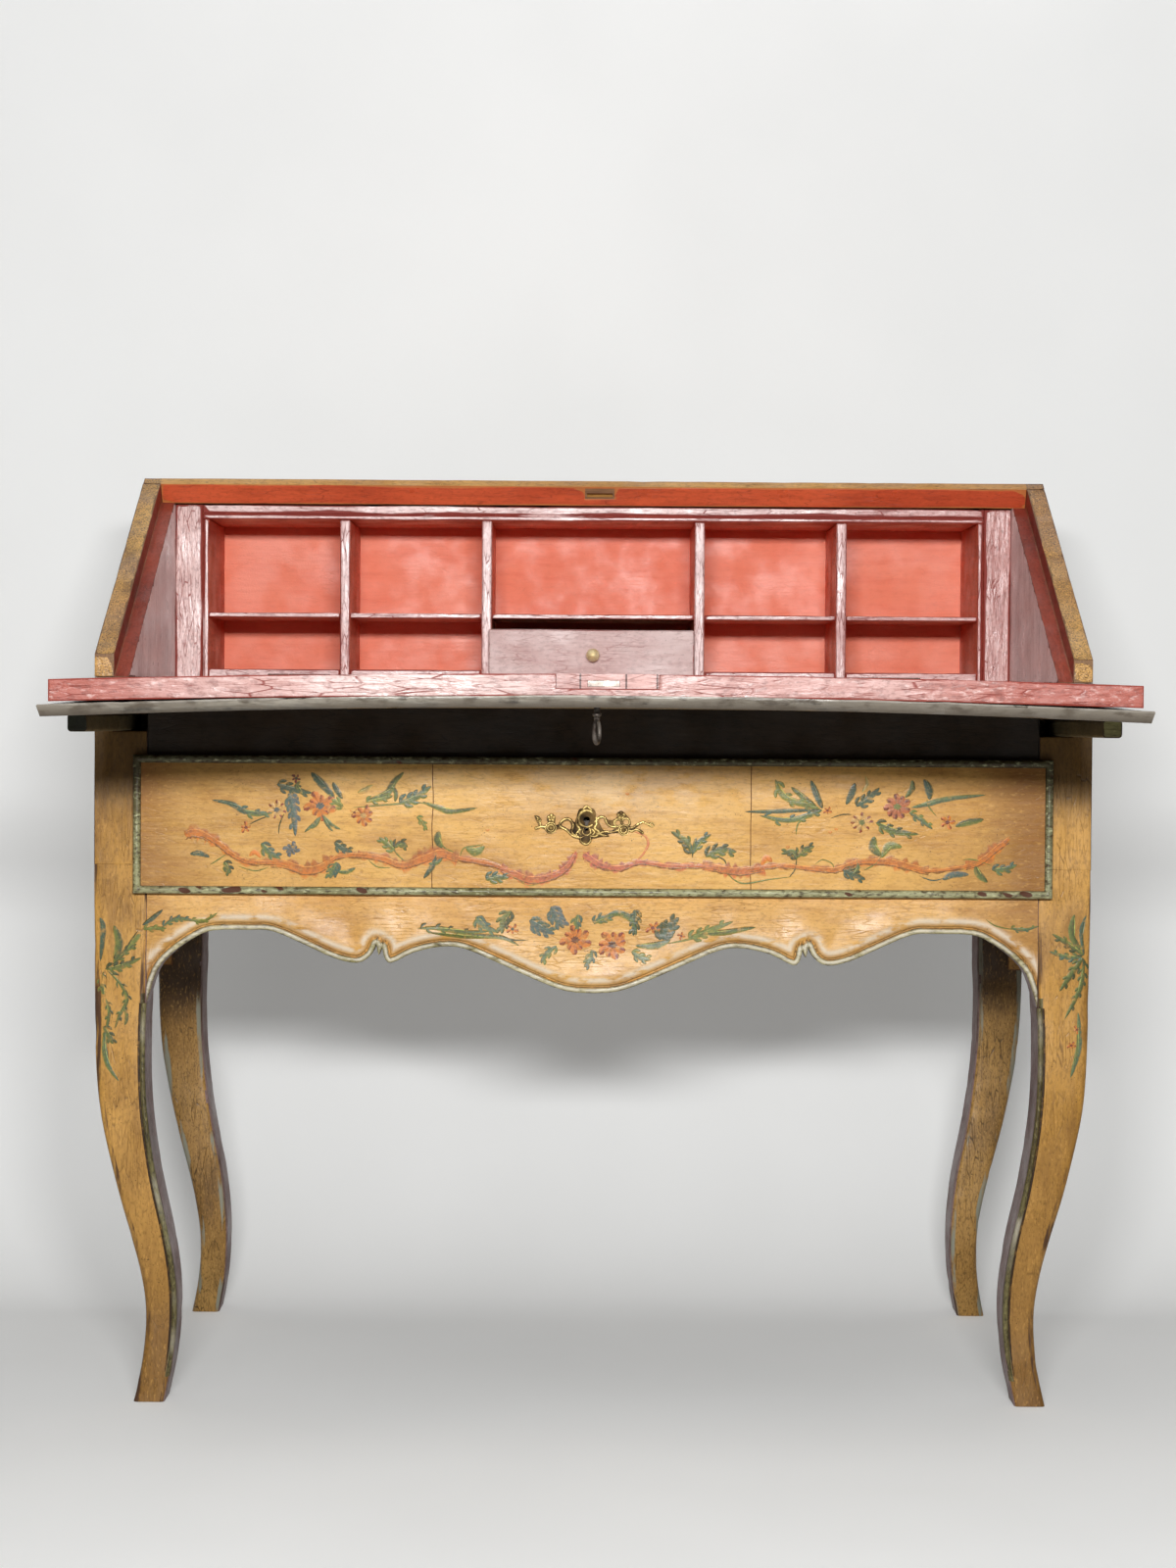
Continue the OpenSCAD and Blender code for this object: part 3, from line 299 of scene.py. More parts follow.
def aged_copy(name, node, body, materials, bevel=1.2 * MM, step=16 * MM,
              uneven=0.2 * MM, chips=0.5 * MM, seed=3, picks=None, axes="xyz", flat=35,
              marks=None, border=None):
    """A board with cuts in it, from a copy of its CAD node. The copy's edges are bevelled.
    The faces that look the way of border get a border as wide as its fourth value. The copy
    is sliced near its outer edges and every step along the given axes. The points move
    inwards by a ripple and by chips near the edges."""
    work = bmesh.new()
    work.from_mesh(frame["nodes"][node].data)
    bmesh.ops.remove_doubles(work, verts=work.verts, dist=1e-6)
    flat_angle, edge_angle = math.radians(0.5), math.radians(28)
    bmesh.ops.dissolve_limit(work, angle_limit=flat_angle, verts=work.verts, edges=work.edges)
    sharp = [e for e in work.edges if len(e.link_faces) == 2
             and e.calc_face_angle(0) > edge_angle]
    ends = np.array([[v.co[:] for v in e.verts] for e in sharp])
    bmesh.ops.bevel(work, geom=sharp, offset=bevel, segments=2, profile=0.6, affect="EDGES",
                    clamp_overlap=True)
    if border:
        work.normal_update()
        bmesh.ops.inset_region(work, faces=[f for f in work.faces
                                            if f.normal.dot(Vector(border[:3])) > 0.99],
                               thickness=border[3], use_boundary=True, use_even_offset=True)
    low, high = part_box(node)
    for axis in ("xyz".index(a) for a in axes):
        normal = Vector((0, 0, 0))
        normal[axis] = 1
        rim = min(bevel + 2 * MM, 0.36 * (high[axis] - low[axis]))
        start, end = low[axis] + rim, high[axis] - rim
        if end - start < 0.5 * MM:
            continue
        for place in np.linspace(start, end, max(1, round((end - start) / step)) + 1):
            point = Vector((0, 0, 0))
            point[axis] = place
            bmesh.ops.bisect_plane(work, geom=work.verts[:] + work.edges[:] + work.faces[:],
                                   dist=1e-7, plane_co=point, plane_no=normal)
    work.normal_update()
    points = np.array([v.co[:] for v in work.verts])
    out = np.array([v.normal[:] for v in work.verts])
    start, way = ends[:, 0], ends[:, 1] - ends[:, 0]
    share = np.einsum("nmk,mk->nm", points[:, None] - start[None], way)
    share = np.clip(share / ((way ** 2).sum(1) + 1e-12), 0, 1)
    reach = np.linalg.norm(points[:, None] - start[None] - share[..., None] * way[None],
                           axis=2).min(1)
    wear = np.exp(-np.maximum(reach - bevel, 0) / WEAR_WIDTH)
    points -= out * worn_inward(points, wear, uneven, chips, seed)
    for v, p in zip(work.verts, points):
        v.co = p
    mesh = bpy.data.meshes.new(name)
    work.to_mesh(mesh)
    work.free()
    for mark, values in {"wear": wear, **(marks(points) if marks else {})}.items():
        mesh.attributes.new(mark, "FLOAT", "POINT").data.foreach_set(
            "value", values.astype(np.float32))
    return dress(mesh, name, body, materials, [node], flat, picks, turn=False)


class Finish:
    """One procedural material on Object coordinates, put together node by node."""

    def __init__(self, name, roughness=0.38, metallic=0.0):
        self.material = bpy.data.materials.new(name)
        self.material.use_nodes = True
        self.tree = self.material.node_tree
        self.tree.nodes.clear()
        self.shader = self.node("ShaderNodeBsdfPrincipled")
        self.shader.inputs["Roughness"].default_value = roughness
        self.shader.inputs["Metallic"].default_value = metallic
        self.output = self.node("ShaderNodeOutputMaterial")
        self.tree.links.new(self.shader.outputs[0], self.output.inputs[0])
        self.place = self.node("ShaderNodeTexCoord").outputs["Object"]

    def node(self, kind, inputs=None, **settings):
        """A new node with its settings, and with each input fed."""
        made = self.tree.nodes.new(kind)
        for key, setting in settings.items():
            setattr(made, key, setting)
        for key, value in (inputs or {}).items():
            self.feed(made.inputs[key], value)
        return made

    def feed(self, socket, value):
        """Links a socket to another, or sets it to a number or a colour."""
        if isinstance(value, bpy.types.NodeSocket):
            self.tree.links.new(value, socket)
        elif socket.type == "RGBA" and len(value) == 3:
            socket.default_value = (*value, 1)
        else:
            socket.default_value = value

    def axis(self, name):
        """The place along x, y or z."""
        return self.node("ShaderNodeSeparateXYZ", {0: self.place}).outputs["xyz".index(name)]

    def stretched(self, stretch, shift=(0, 0, 0)):
        """The place, scaled by stretch along each axis and shifted."""
        return self.node("ShaderNodeMapping", {0: self.place, "Scale": stretch,
                                               "Location": shift}).outputs[0]

    def noise(self, scale, detail=3.0, stretch=(1, 1, 1), shift=(0, 0, 0), twist=0.0):
        """Cloudy noise of 0 to 1, with the given number of waves to the metre."""
        return self.node("ShaderNodeTexNoise", {
            "Vector": self.stretched(stretch, shift), "Scale": scale, "Detail": detail,
            "Roughness": 0.55, "Distortion": twist}).outputs[0]

    def cells(self, scale, stretch):
        """Distance to the nearest cell edge, for fine cracks."""
        return self.node("ShaderNodeTexVoronoi", {
            "Vector": self.stretched(stretch), "Scale": scale},
            feature="DISTANCE_TO_EDGE").outputs[0]

    def span(self, value, low, high, to_low=0.0, to_high=1.0):
        """Maps low..high smoothly to to_low..to_high and holds the ends."""
        return self.node("ShaderNodeMapRange", {
            0: value, 1: low, 2: high, 3: to_low, 4: to_high},
            interpolation_type="SMOOTHSTEP").outputs[0]

    def mix(self, share, first, second):
        """The first colour, with the given share of the second mixed in."""
        made = self.node("ShaderNodeMix", data_type="RGBA")
        for i, value in ((0, share), (6, first), (7, second)):
            self.feed(made.inputs[i], value)
        return made.outputs[2]

    def count(self, operation, first, second=0.0):
        """A sum of arithmetic on one or two numbers."""
        made = self.node("ShaderNodeMath", operation=operation)
        self.feed(made.inputs[0], first)
        self.feed(made.inputs[1], second)
        return made.outputs[0]

    def mark(self, name, colour=False):
        """One of the mesh's point marks."""
        made = self.node("ShaderNodeAttribute", attribute_name=name)
        return made.outputs["Color" if colour else "Fac"]

    def bump(self, height, strength, distance):
        """Adds a bump on top of the earlier ones."""
        made = self.node("ShaderNodeBump", {"Strength": strength, "Distance": distance,
                                            "Height": height})
        previous = self.shader.inputs["Normal"]
        if previous.is_linked:
            self.tree.links.new(previous.links[0].from_socket, made.inputs["Normal"])
        self.feed(previous, made.outputs[0])

    def done(self, colour):
        """Feeds the colour in and gives the finished material."""
        self.feed(self.shader.inputs["Base Color"], colour)
        return self.material


def scaled(colour, share):
    """A colour made darker or lighter."""
    return [c * share for c in colour]


def paint_layers(f, along, base, light, dark, chip, specks=1.0, wear_amount=1.0, speckle=0.3,
                 craze=0.4, craze_size=210.0, craze_tone=None, dusk=None, grime=None,
                 cloudy=1.0, lines=(), grit=1.0):
    """Old oil paint on wood: clouds of a lighter and a darker tone, streaks along the grain,
    fine mottling, dark specks, hair cracks, painted shade in grooves, on bead flanks and under
    edges, painted highlights on swellings, crests and edges, pale worn patches and chips of an
    under colour along worn edges.
    dusk is an axis, the places where it starts and is full, its most, and perhaps its tone; the
    setting after it is the same for the height alone, in the paint's own dark, and paints the
    shadow that the fall casts; lines are dark joints at places of x; grit makes the mottling
    finer. Gives the colour, the chips and the cracks."""
    grain = [0.12 if axis == along else 1.0 for axis in "xyz"]
    half_grain = [0.45 if axis == along else 1.0 for axis in "xyz"]
    cloud = f.span(f.noise(5.0, 4), 0.35, 0.68, 0.0, cloudy)
    colour = f.mix(cloud, base, light)
    patch = f.span(f.noise(17.0, 5, half_grain, shift=(3, 1, 2)), 0.48, 0.74, 0.0,
                   0.6 * cloudy)
    colour = f.mix(patch, colour, dark)
    if dusk:
        axis, start, end, most, *tone = dusk
        tone = srgb(*tone[0]) if tone else scaled(dark, 0.72)
        way = f.axis(axis)
        if axis == "x":
            way = f.count("ABSOLUTE", way)
        way = f.count("ADD", way, f.span(f.noise(7.0, 3, shift=(4, 2, 6)), 0.3, 0.7,
                                         -50 * MM, 50 * MM))
        colour = f.mix(f.span(way, start, end, 0.0, most), colour, tone)
    streak = f.span(f.noise(160.0, 3, grain), 0.45, 0.75, 0.0, 0.35)
    colour = f.mix(streak, colour, dark)
    fine = f.span(f.noise(330.0 * grit, 3, half_grain, shift=(3, 3, 8)), 0.46, 0.70, 0.0,
                  speckle)
    colour = f.mix(fine, colour, scaled(dark, 0.5))
    pale = f.span(f.noise(270.0 * grit, 3, half_grain, shift=(8, 1, 5)), 0.54, 0.74, 0.0,
                  speckle)
    colour = f.mix(pale, colour, [min(1.0, c) for c in scaled(light, 1.22)])
    speck = f.count("MULTIPLY", f.span(f.noise(620.0, 2, shift=(1, 5, 2)), 0.66, 0.73),
                    f.span(f.noise(16.0, 2, shift=(7, 2, 2)), 0.35, 0.7, 0.1, specks))
    colour = f.mix(speck, colour, scaled(dark, 0.25))
    cracks = f.span(f.cells(craze_size, grain), 0.0, 0.05, 1.0, 0.0)
    cracks = f.count("MULTIPLY", cracks, f.span(f.noise(30.0, 4, shift=(2, 9, 4)), 0.42, 0.62,
                                                0.0, craze))
    colour = f.mix(cracks, colour, craze_tone or scaled(dark, 0.45))
    for line in lines:
        away = f.count("ABSOLUTE", f.count("SUBTRACT", f.axis("x"), line))
        colour = f.mix(f.span(away, 0.5 * MM, 1.1 * MM, 0.9, 0.0), colour, scaled(dark, 0.2))
    # Painted shade: the fall's shadow on the post tops, darker by height in the paint's own dark
    if grime:
        start, end, most = grime
        colour = f.mix(f.span(f.axis("z"), start, end, 0.0, most), colour, scaled(dark, 0.16))
    # Painted shade: a point mark darkens grooves, the flanks of beads and the lower half of the
    # fall's edge
    dirt = f.count("MULTIPLY", f.mark("dirt"), f.span(f.noise(120.0, 4), 0.25, 0.5, 0.5, 1.0))
    colour = f.mix(dirt, colour, scaled(dark, 0.16))
    # Painted highlight: a point mark lightens the apron's swelling and bead crest, the top of the
    # fall's edge and glints on the drawer; on the leg beads it gives pale worn patches
    haze = f.count("MULTIPLY", f.mark("haze"), f.span(f.noise(95.0, 5, half_grain), 0.34, 0.52))
    colour = f.mix(haze, colour, srgb(242, 234, 216))
    worn = f.count("ADD", f.mark("wear"), f.count("MULTIPLY", f.noise(75.0, 4, grain), 1.25))
    worn = f.count("MULTIPLY", f.span(worn, 1.40, 1.56), wear_amount)
    colour = f.mix(worn, colour, chip)
    return colour, worn, cracks


def painted(name, along, base, light, dark, chip, roughness=0.38, specks=1.0, gloss_lines=1.0,
            wear_amount=1.0, craze_tone=None, gloss=0.3, waves=0.4, **more):
    """A painted wood finish: the paint layers under an old varnish, whose fine ridges along
    the grain break up its reflections. The four tones are levels of 0 to 255."""
    f = Finish(name, roughness)
    f.shader.inputs["Specular IOR Level"].default_value = gloss
    tones = [srgb(*c) for c in (base, light, dark, chip)]
    colour, worn, cracks = paint_layers(f, along, *tones, specks, wear_amount,
                                        craze_tone=craze_tone and srgb(*craze_tone), **more)
    varnish(f, along, worn, cracks, roughness, gloss_lines, waves)
    return f.done(colour)


def painting(name, along, ground, **more):
    """Strokes of paint over the ground paint: the pigment mark gives the colour, and it
    covers the ground less towards the stroke's edge and where it has worn thin."""
    f = Finish(name)
    f.shader.inputs["Specular IOR Level"].default_value = 0.3
    colour, worn, cracks = paint_layers(f, along, *(srgb(*c) for c in ground), **more)
    thin = f.span(f.noise(150.0, 4, shift=(5, 0, 3)), 0.28, 0.46, 0.45, 1.0)
    brush = f.span(f.noise(420.0, 2, shift=(0, 7, 0)), 0.3, 0.7, 0.8, 1.15)
    cover = f.count("MULTIPLY", f.count("MULTIPLY", f.mark("cover"), thin), brush)
    shade = f.span(f.noise(260.0, 3, shift=(2, 2, 9)), 0.4, 0.7, 0.0, 0.4)
    pigment = f.mix(shade, f.mark("pigment", True), (0.03, 0.03, 0.03))
    colour = f.mix(f.count("MINIMUM", cover, 0.96), colour, pigment)
    varnish(f, along, worn, cracks)
    return f.done(colour)


def varnish(f, along, worn, cracks, roughness=0.38, gloss_lines=1.0, waves=0.4):
    """Bump and roughness of old varnish: brush ridges along the grain, slow waves, cracks and
    the steps where paint has chipped off."""
    grain = [0.2 if axis == along else 1.0 for axis in "xyz"]
    f.bump(f.noise(9.0, 2), waves, 8 * MM)
    f.bump(f.noise(190.0, 4, grain), 0.45 * gloss_lines, 0.9 * MM)
    f.bump(f.noise(600.0, 3), 0.25, 0.4 * MM)
    f.bump(f.count("SUBTRACT", 1.0, f.count("MAXIMUM", worn, cracks)), 0.7, 0.5 * MM)
    rough = f.span(f.noise(24.0, 4, shift=(4, 4, 1)), 0.3, 0.75, roughness - 0.08,
                   roughness + 0.2)
    f.feed(f.shader.inputs["Roughness"], f.count("MAXIMUM", rough, f.count(
        "MULTIPLY", worn, 0.7)))


def bare_wood(name, along, pale=(150, 118, 80), deep=(104, 76, 48)):
    """Unfinished softwood: stretched noise bands for the grain, darker with age."""
    f = Finish(name, 0.75)
    stretch = [0.07 if axis == along else 1.0 for axis in "xyz"]
    rings = f.span(f.noise(42.0, 5, stretch, twist=0.6), 0.3, 0.7)
    colour = f.mix(rings, srgb(*deep), srgb(*pale))
    fibre = f.span(f.noise(420.0, 2, stretch), 0.35, 0.7, 0.0, 0.45)
    colour = f.mix(fibre, colour, srgb(*scaled(deep, 0.6)))
    dirt = f.span(f.noise(6.0, 4, shift=(2, 2, 2)), 0.4, 0.7, 0.0, 0.5)
    colour = f.mix(dirt, colour, srgb(*scaled(deep, 0.7)))
    f.bump(f.noise(300.0, 3, stretch), 0.4, 0.4 * MM)
    return f.done(colour)


def metal(name, bright, dull, roughness, metallic=0.8):
    """Old metal: a bright ground with dull tarnish in clouds and in fine pits."""
    f = Finish(name, roughness, metallic)
    tarnish = f.span(f.noise(90.0, 5), 0.38, 0.66)
    colour = f.mix(tarnish, srgb(*bright), srgb(*dull))
    pits = f.span(f.noise(900.0, 2), 0.6, 0.7, 0.0, 0.7)
    colour = f.mix(pits, colour, srgb(*scaled(dull, 0.5)))
    f.bump(f.noise(500.0, 3), 0.25, 0.2 * MM)
    f.feed(f.shader.inputs["Roughness"], f.span(f.noise(60.0, 3), 0.3, 0.7, roughness - 0.1,
                                                roughness + 0.25))
    return f.done(colour)


MATERIALS = {}


def make_materials(desk):
    """Every finish of the desk, kept by name in MATERIALS."""
    ochre = tuple(255 * c for c in desk.ochre)
    ground = (ochre, (232, 182, 100), (156, 100, 42), (104, 66, 38))
    upright = ((184, 136, 62), (206, 156, 82), (116, 78, 34), (84, 58, 38))
    lacquer = ((206, 158, 153), (236, 210, 206), (158, 84, 77), (132, 44, 34))
    drawer_dusk, post_dusk = ("x", 0.28, 0.48, 0.85), ("z", 0.34, 0.0, 0.7)
    m = MATERIALS
    m["ochre"] = painted("ochre_paint", "x", *ground, dusk=drawer_dusk, speckle=0.24,
                         craze=0.3, craze_tone=(150, 104, 56), grit=1.3)
    m["top"] = painted("top_paint", "x", (206, 148, 76), (226, 172, 98), (160, 104, 50),
                       (188, 134, 70), wear_amount=0.5, speckle=0.4)
    m["apron"] = painted("apron_paint", "x", (212, 158, 80), (230, 180, 102), (156, 100, 40),
                         (140, 98, 62), dusk=("x", 0.36, 0.50, 0.6), craze=0.4, gloss=0.36,
                         craze_tone=(140, 94, 50), grit=1.3)
    # The frieze under the fall is painted near black: painted shadow of the fall over it
    m["frieze"] = painted("frieze_paint", "x", (38, 27, 15), (52, 37, 21), (22, 16, 10),
                          (18, 13, 8), 0.6)
    # The front posts darken from 0.585 m to 0.635 m up: painted shade of the fall's shadow on
    # their tops
    m["ochre_up"] = painted("post_paint", "z", *upright, specks=2.4, speckle=0.34, cloudy=1.4,
                            dusk=post_dusk, grime=(0.585, 0.635, 0.7), craze=0.5, grit=1.3)
    # The back posts darken above 0.28 m to 0.44 m up: painted shadow of the apron over them
    m["back_leg"] = painted("back_post_paint", "z", (164, 122, 62), (190, 148, 84),
                            (84, 58, 30), (150, 148, 130), specks=2.4, speckle=0.55,
                            craze=0.8, dusk=("z", 0.28, 0.44, 0.95), grit=1.7)
    m["ochre_deep"] = painted("side_paint", "y", (190, 136, 66), (210, 160, 88), (130, 86, 40),
                              (120, 82, 50), specks=1.5, speckle=0.5, craze=0.6, grit=1.5)
    m["rim"] = painted("rim_paint", "y", (186, 132, 68), (222, 172, 92), (100, 64, 34),
                       (104, 70, 44), 0.36, 3.0, 1.2, 0.8, speckle=0.9, craze=0.7,
                       craze_size=420.0, gloss=0.5, grit=1.9)
    m["red"] = painted("red_paint", "x", (198, 82, 50), (218, 98, 60), (150, 56, 34),
                       (196, 136, 74), 0.34, 0.5, wear_amount=0.6, speckle=0.2)
    m["rebate"] = painted("rebate_paint", "y", (142, 58, 44), (164, 76, 56), (92, 38, 30),
                          (92, 56, 42), 0.42, 0.8, wear_amount=0.25)
    m["pink"] = painted("fall_edge_paint", "x", (194, 146, 138), (218, 192, 186),
                        (140, 68, 58), (140, 50, 36), 0.3, 0.6, 2.4, craze=1.0,
                        craze_size=170.0, craze_tone=(134, 50, 40), speckle=0.5, gloss=0.4,
                        dusk=("x", 0.14, 0.5, 0.85, (172, 86, 70)))
    m["stile"] = painted("stile_paint", "z", (192, 142, 136), (218, 186, 181), (154, 82, 74),
                         (132, 44, 34), 0.28, 0.5, 3.0, craze=0.9, craze_size=260.0,
                         craze_tone=(138, 54, 44), speckle=0.5, gloss=0.45, grit=1.3)
    for key, name, along in (("mauve", "gallery_paint", "x"),
                             ("mauve_up", "gallery_upright_paint", "z")):
        m[key] = painted(name, along, *lacquer, 0.26, 0.5, 2.2, craze=0.9, craze_size=260.0,
                         craze_tone=(134, 50, 42), speckle=0.4, gloss=0.5)
    m["inner_side"] = painted("inner_side_paint", "z", (244, 222, 218), (252, 240, 238),
                              (176, 134, 128), (118, 70, 60), 0.34, 1.2, speckle=0.2,
                              gloss=0.5)
    m["maroon"] = painted("divider_side_paint", "y", (226, 112, 86), (236, 132, 106),
                          (176, 76, 58), (160, 82, 64), 0.4, 0.4, wear_amount=0.3)
    m["salmon"] = painted("salmon_paint", "x", (240, 130, 98), (247, 148, 116),
                          (226, 110, 80), (232, 160, 138), 0.4, 0.2, 0.5, 0.3, speckle=0.06,
                          craze=0.1, cloudy=0.6, waves=0.05)
    # The bead darkens towards its top run, from 0.50 m to 0.66 m up: painted shade of the fall
    m["bead"] = painted("green_bead_paint", "x", (134, 130, 84), (190, 190, 148),
                        (84, 60, 38), (88, 54, 38), 0.36, 2.0, 1.4, speckle=0.9, craze=0.6,
                        dusk=("z", 0.50, 0.66, 0.75, (52, 48, 24)))
    m["bead_low"] = painted("apron_bead_paint", "x", (138, 130, 84), (194, 184, 142),
                            (82, 62, 36), (84, 54, 34), 0.36, 2.0, 1.2, speckle=0.8,
                            craze=0.6)
    m["bead_up"] = painted("leg_bead_paint", "z", (84, 72, 38), (126, 118, 76), (48, 38, 20),
                           (56, 40, 26), 0.4, 1.6, 1.2, speckle=0.8, craze=0.6, grit=1.5)
    m["fall_face"] = painted("fall_face_paint", "x", (68, 57, 44), (98, 88, 72),
                             (38, 31, 24), (88, 77, 63), 0.34, 1.0, 1.8, 0.6, speckle=0.6,
                             gloss=0.5)
    m["under"] = painted("under_paint", "z", (140, 110, 104), (166, 140, 136), (88, 62, 54),
                         (90, 66, 52), 0.45, 1.2, speckle=0.5)
    m["loper"] = painted("loper_paint", "y", (36, 36, 24), (48, 50, 32), (24, 22, 16),
                         (60, 48, 34), 0.5, 0.5)
    m["loper_end"] = painted("loper_end_paint", "x", (150, 146, 92), (176, 170, 116),
                             (84, 72, 42), (70, 52, 34), 0.5, 1.5, speckle=0.6)
    m["wood"] = bare_wood("bare_wood", "x")
    m["wood_deep"] = bare_wood("bare_wood_deep", "y")
    m["keeper_wood"] = bare_wood("keeper_wood", "x", (176, 132, 92), (116, 78, 50))
    m["loper_wood"] = painted("loper_side_paint", "y", (74, 66, 44), (96, 86, 60),
                              (46, 38, 26), (120, 100, 70), 0.55, 0.5)
    m["small_front"] = painted("small_drawer_paint", "x", (210, 180, 176), (222, 200, 196),
                               (176, 128, 122), (150, 70, 60), 0.44, 0.5, 0.9, speckle=0.25,
                               craze_tone=(150, 90, 84))
    m["lock_plate"] = painted("lock_plate_paint", "x", (206, 158, 150), (226, 192, 186),
                              (120, 60, 50), (84, 60, 52), 0.32, 0.8, 1.0,
                              lines=(-36 * MM, -14 * MM, 26.6 * MM, 54 * MM))
    m["crack"] = painted("joint_shadow", "z", (88, 56, 32), (112, 74, 44), (60, 38, 24),
                         (50, 34, 22), 0.8, 0.2)
    m["painting"] = painting("painted_spray", "x", ground, dusk=drawer_dusk, speckle=0.24,
                             craze=0.25)
    m["painting_up"] = painting("painted_leaves", "z", upright, specks=2.2, speckle=0.5,
                                dusk=post_dusk, craze=0.7)
    m["gilt"] = metal("old_gilt", (214, 186, 118), (96, 74, 42), 0.34)
    m["gilt_ground"] = metal("old_gilt_ground", (104, 80, 44), (46, 35, 21), 0.5)
    m["bolt"] = metal("bolt_steel", (206, 194, 184), (160, 148, 140), 0.5)
    m["knob"] = metal("polished_brass", (250, 236, 190), (222, 196, 142), 0.36, 0.45)
    m["iron"] = metal("old_iron", (120, 112, 104), (64, 54, 48), 0.45)


class DeskSettings(PropertyGroup):
    """Sizes and colours of the desk that a user may change."""

    edge_radius: FloatProperty(name="Edge radius", unit="LENGTH", default=1.6 * MM, min=0.2 * MM,
                               max=4 * MM, description="Radius of the worn board edges")
    unevenness: FloatProperty(name="Unevenness", unit="LENGTH", default=0.25 * MM, min=0,
                              max=1 * MM, description="How far hand-planed faces wave")
    leg_round: FloatProperty(name="Leg rounding", unit="LENGTH", default=6 * MM, min=1 * MM,
                             max=12 * MM, description="Radius of the corners of the legs")
    ochre: FloatVectorProperty(name="Ochre", subtype="COLOR", size=3, min=0, max=1,
                               default=(0.845, 0.635, 0.325),
                               description="Ground colour of the drawer and apron")


class StageSettings(PropertyGroup):
    """The floor, the camera and the light of the picture."""

    focal: FloatProperty(name="Focal length", subtype="DISTANCE_CAMERA", default=66.2, min=20,
                         max=200, description="Camera focal length in millimetres")
    distance: FloatProperty(name="Distance", unit="LENGTH", default=2.935, min=1, max=8,
                            description="From the camera to the front of the case")
    eye: FloatProperty(name="Eye height", unit="LENGTH", default=0.7025, min=0.2, max=2,
                       description="Height of the camera above the floor")
    key_power: FloatProperty(name="Front light", subtype="POWER", default=82, min=0, max=900,
                             description="Power of the wide soft box in front, in watts")
    fill: FloatProperty(name="Fill light", subtype="FACTOR", default=0.05, min=0, max=1,
                        description="Strength of the light from all round")
    sweep_start: FloatProperty(name="Start of the sweep", unit="LENGTH", default=0.4, min=0.3,
                               max=6, description="Where the paper behind the desk turns up")
    sweep_radius: FloatProperty(name="Radius of the sweep", unit="LENGTH", default=0.32, min=0.1,
                                max=3, description="Radius of the turn of the paper")


def camera_matrix(place, yaw, pitch, roll):
    """The camera's matrix: its forward axis is turned by yaw about the vertical and lowered
    by pitch, and the picture then leans by roll, all in radians."""
    right = Vector((math.cos(yaw), math.sin(yaw), 0))
    level = Vector((-math.sin(yaw), math.cos(yaw), 0))
    ahead = level * math.cos(pitch) - Vector((0, 0, math.sin(pitch)))
    up = level * math.sin(pitch) + Vector((0, 0, math.cos(pitch)))
    side = right * math.cos(roll) + up * math.sin(roll)
    top = up * math.cos(roll) - right * math.sin(roll)
    matrix = Matrix((side, top, -ahead)).transposed().to_4x4()
    matrix.translation = place
    return matrix


def area_light(name, place, aim, size, power):
    """A soft rectangular lamp that shines from its place towards its aim."""
    light = bpy.data.lights.new(name, "AREA")
    light.shape, light.size, light.size_y, light.energy = "RECTANGLE", *size, power
    lamp = bpy.data.objects.new(name, light)
    lamp.location = place
    lamp.rotation_euler = (Vector(aim) - Vector(place)).to_track_quat("-Z", "Y").to_euler()
    bpy.context.scene.collection.objects.link(lamp)


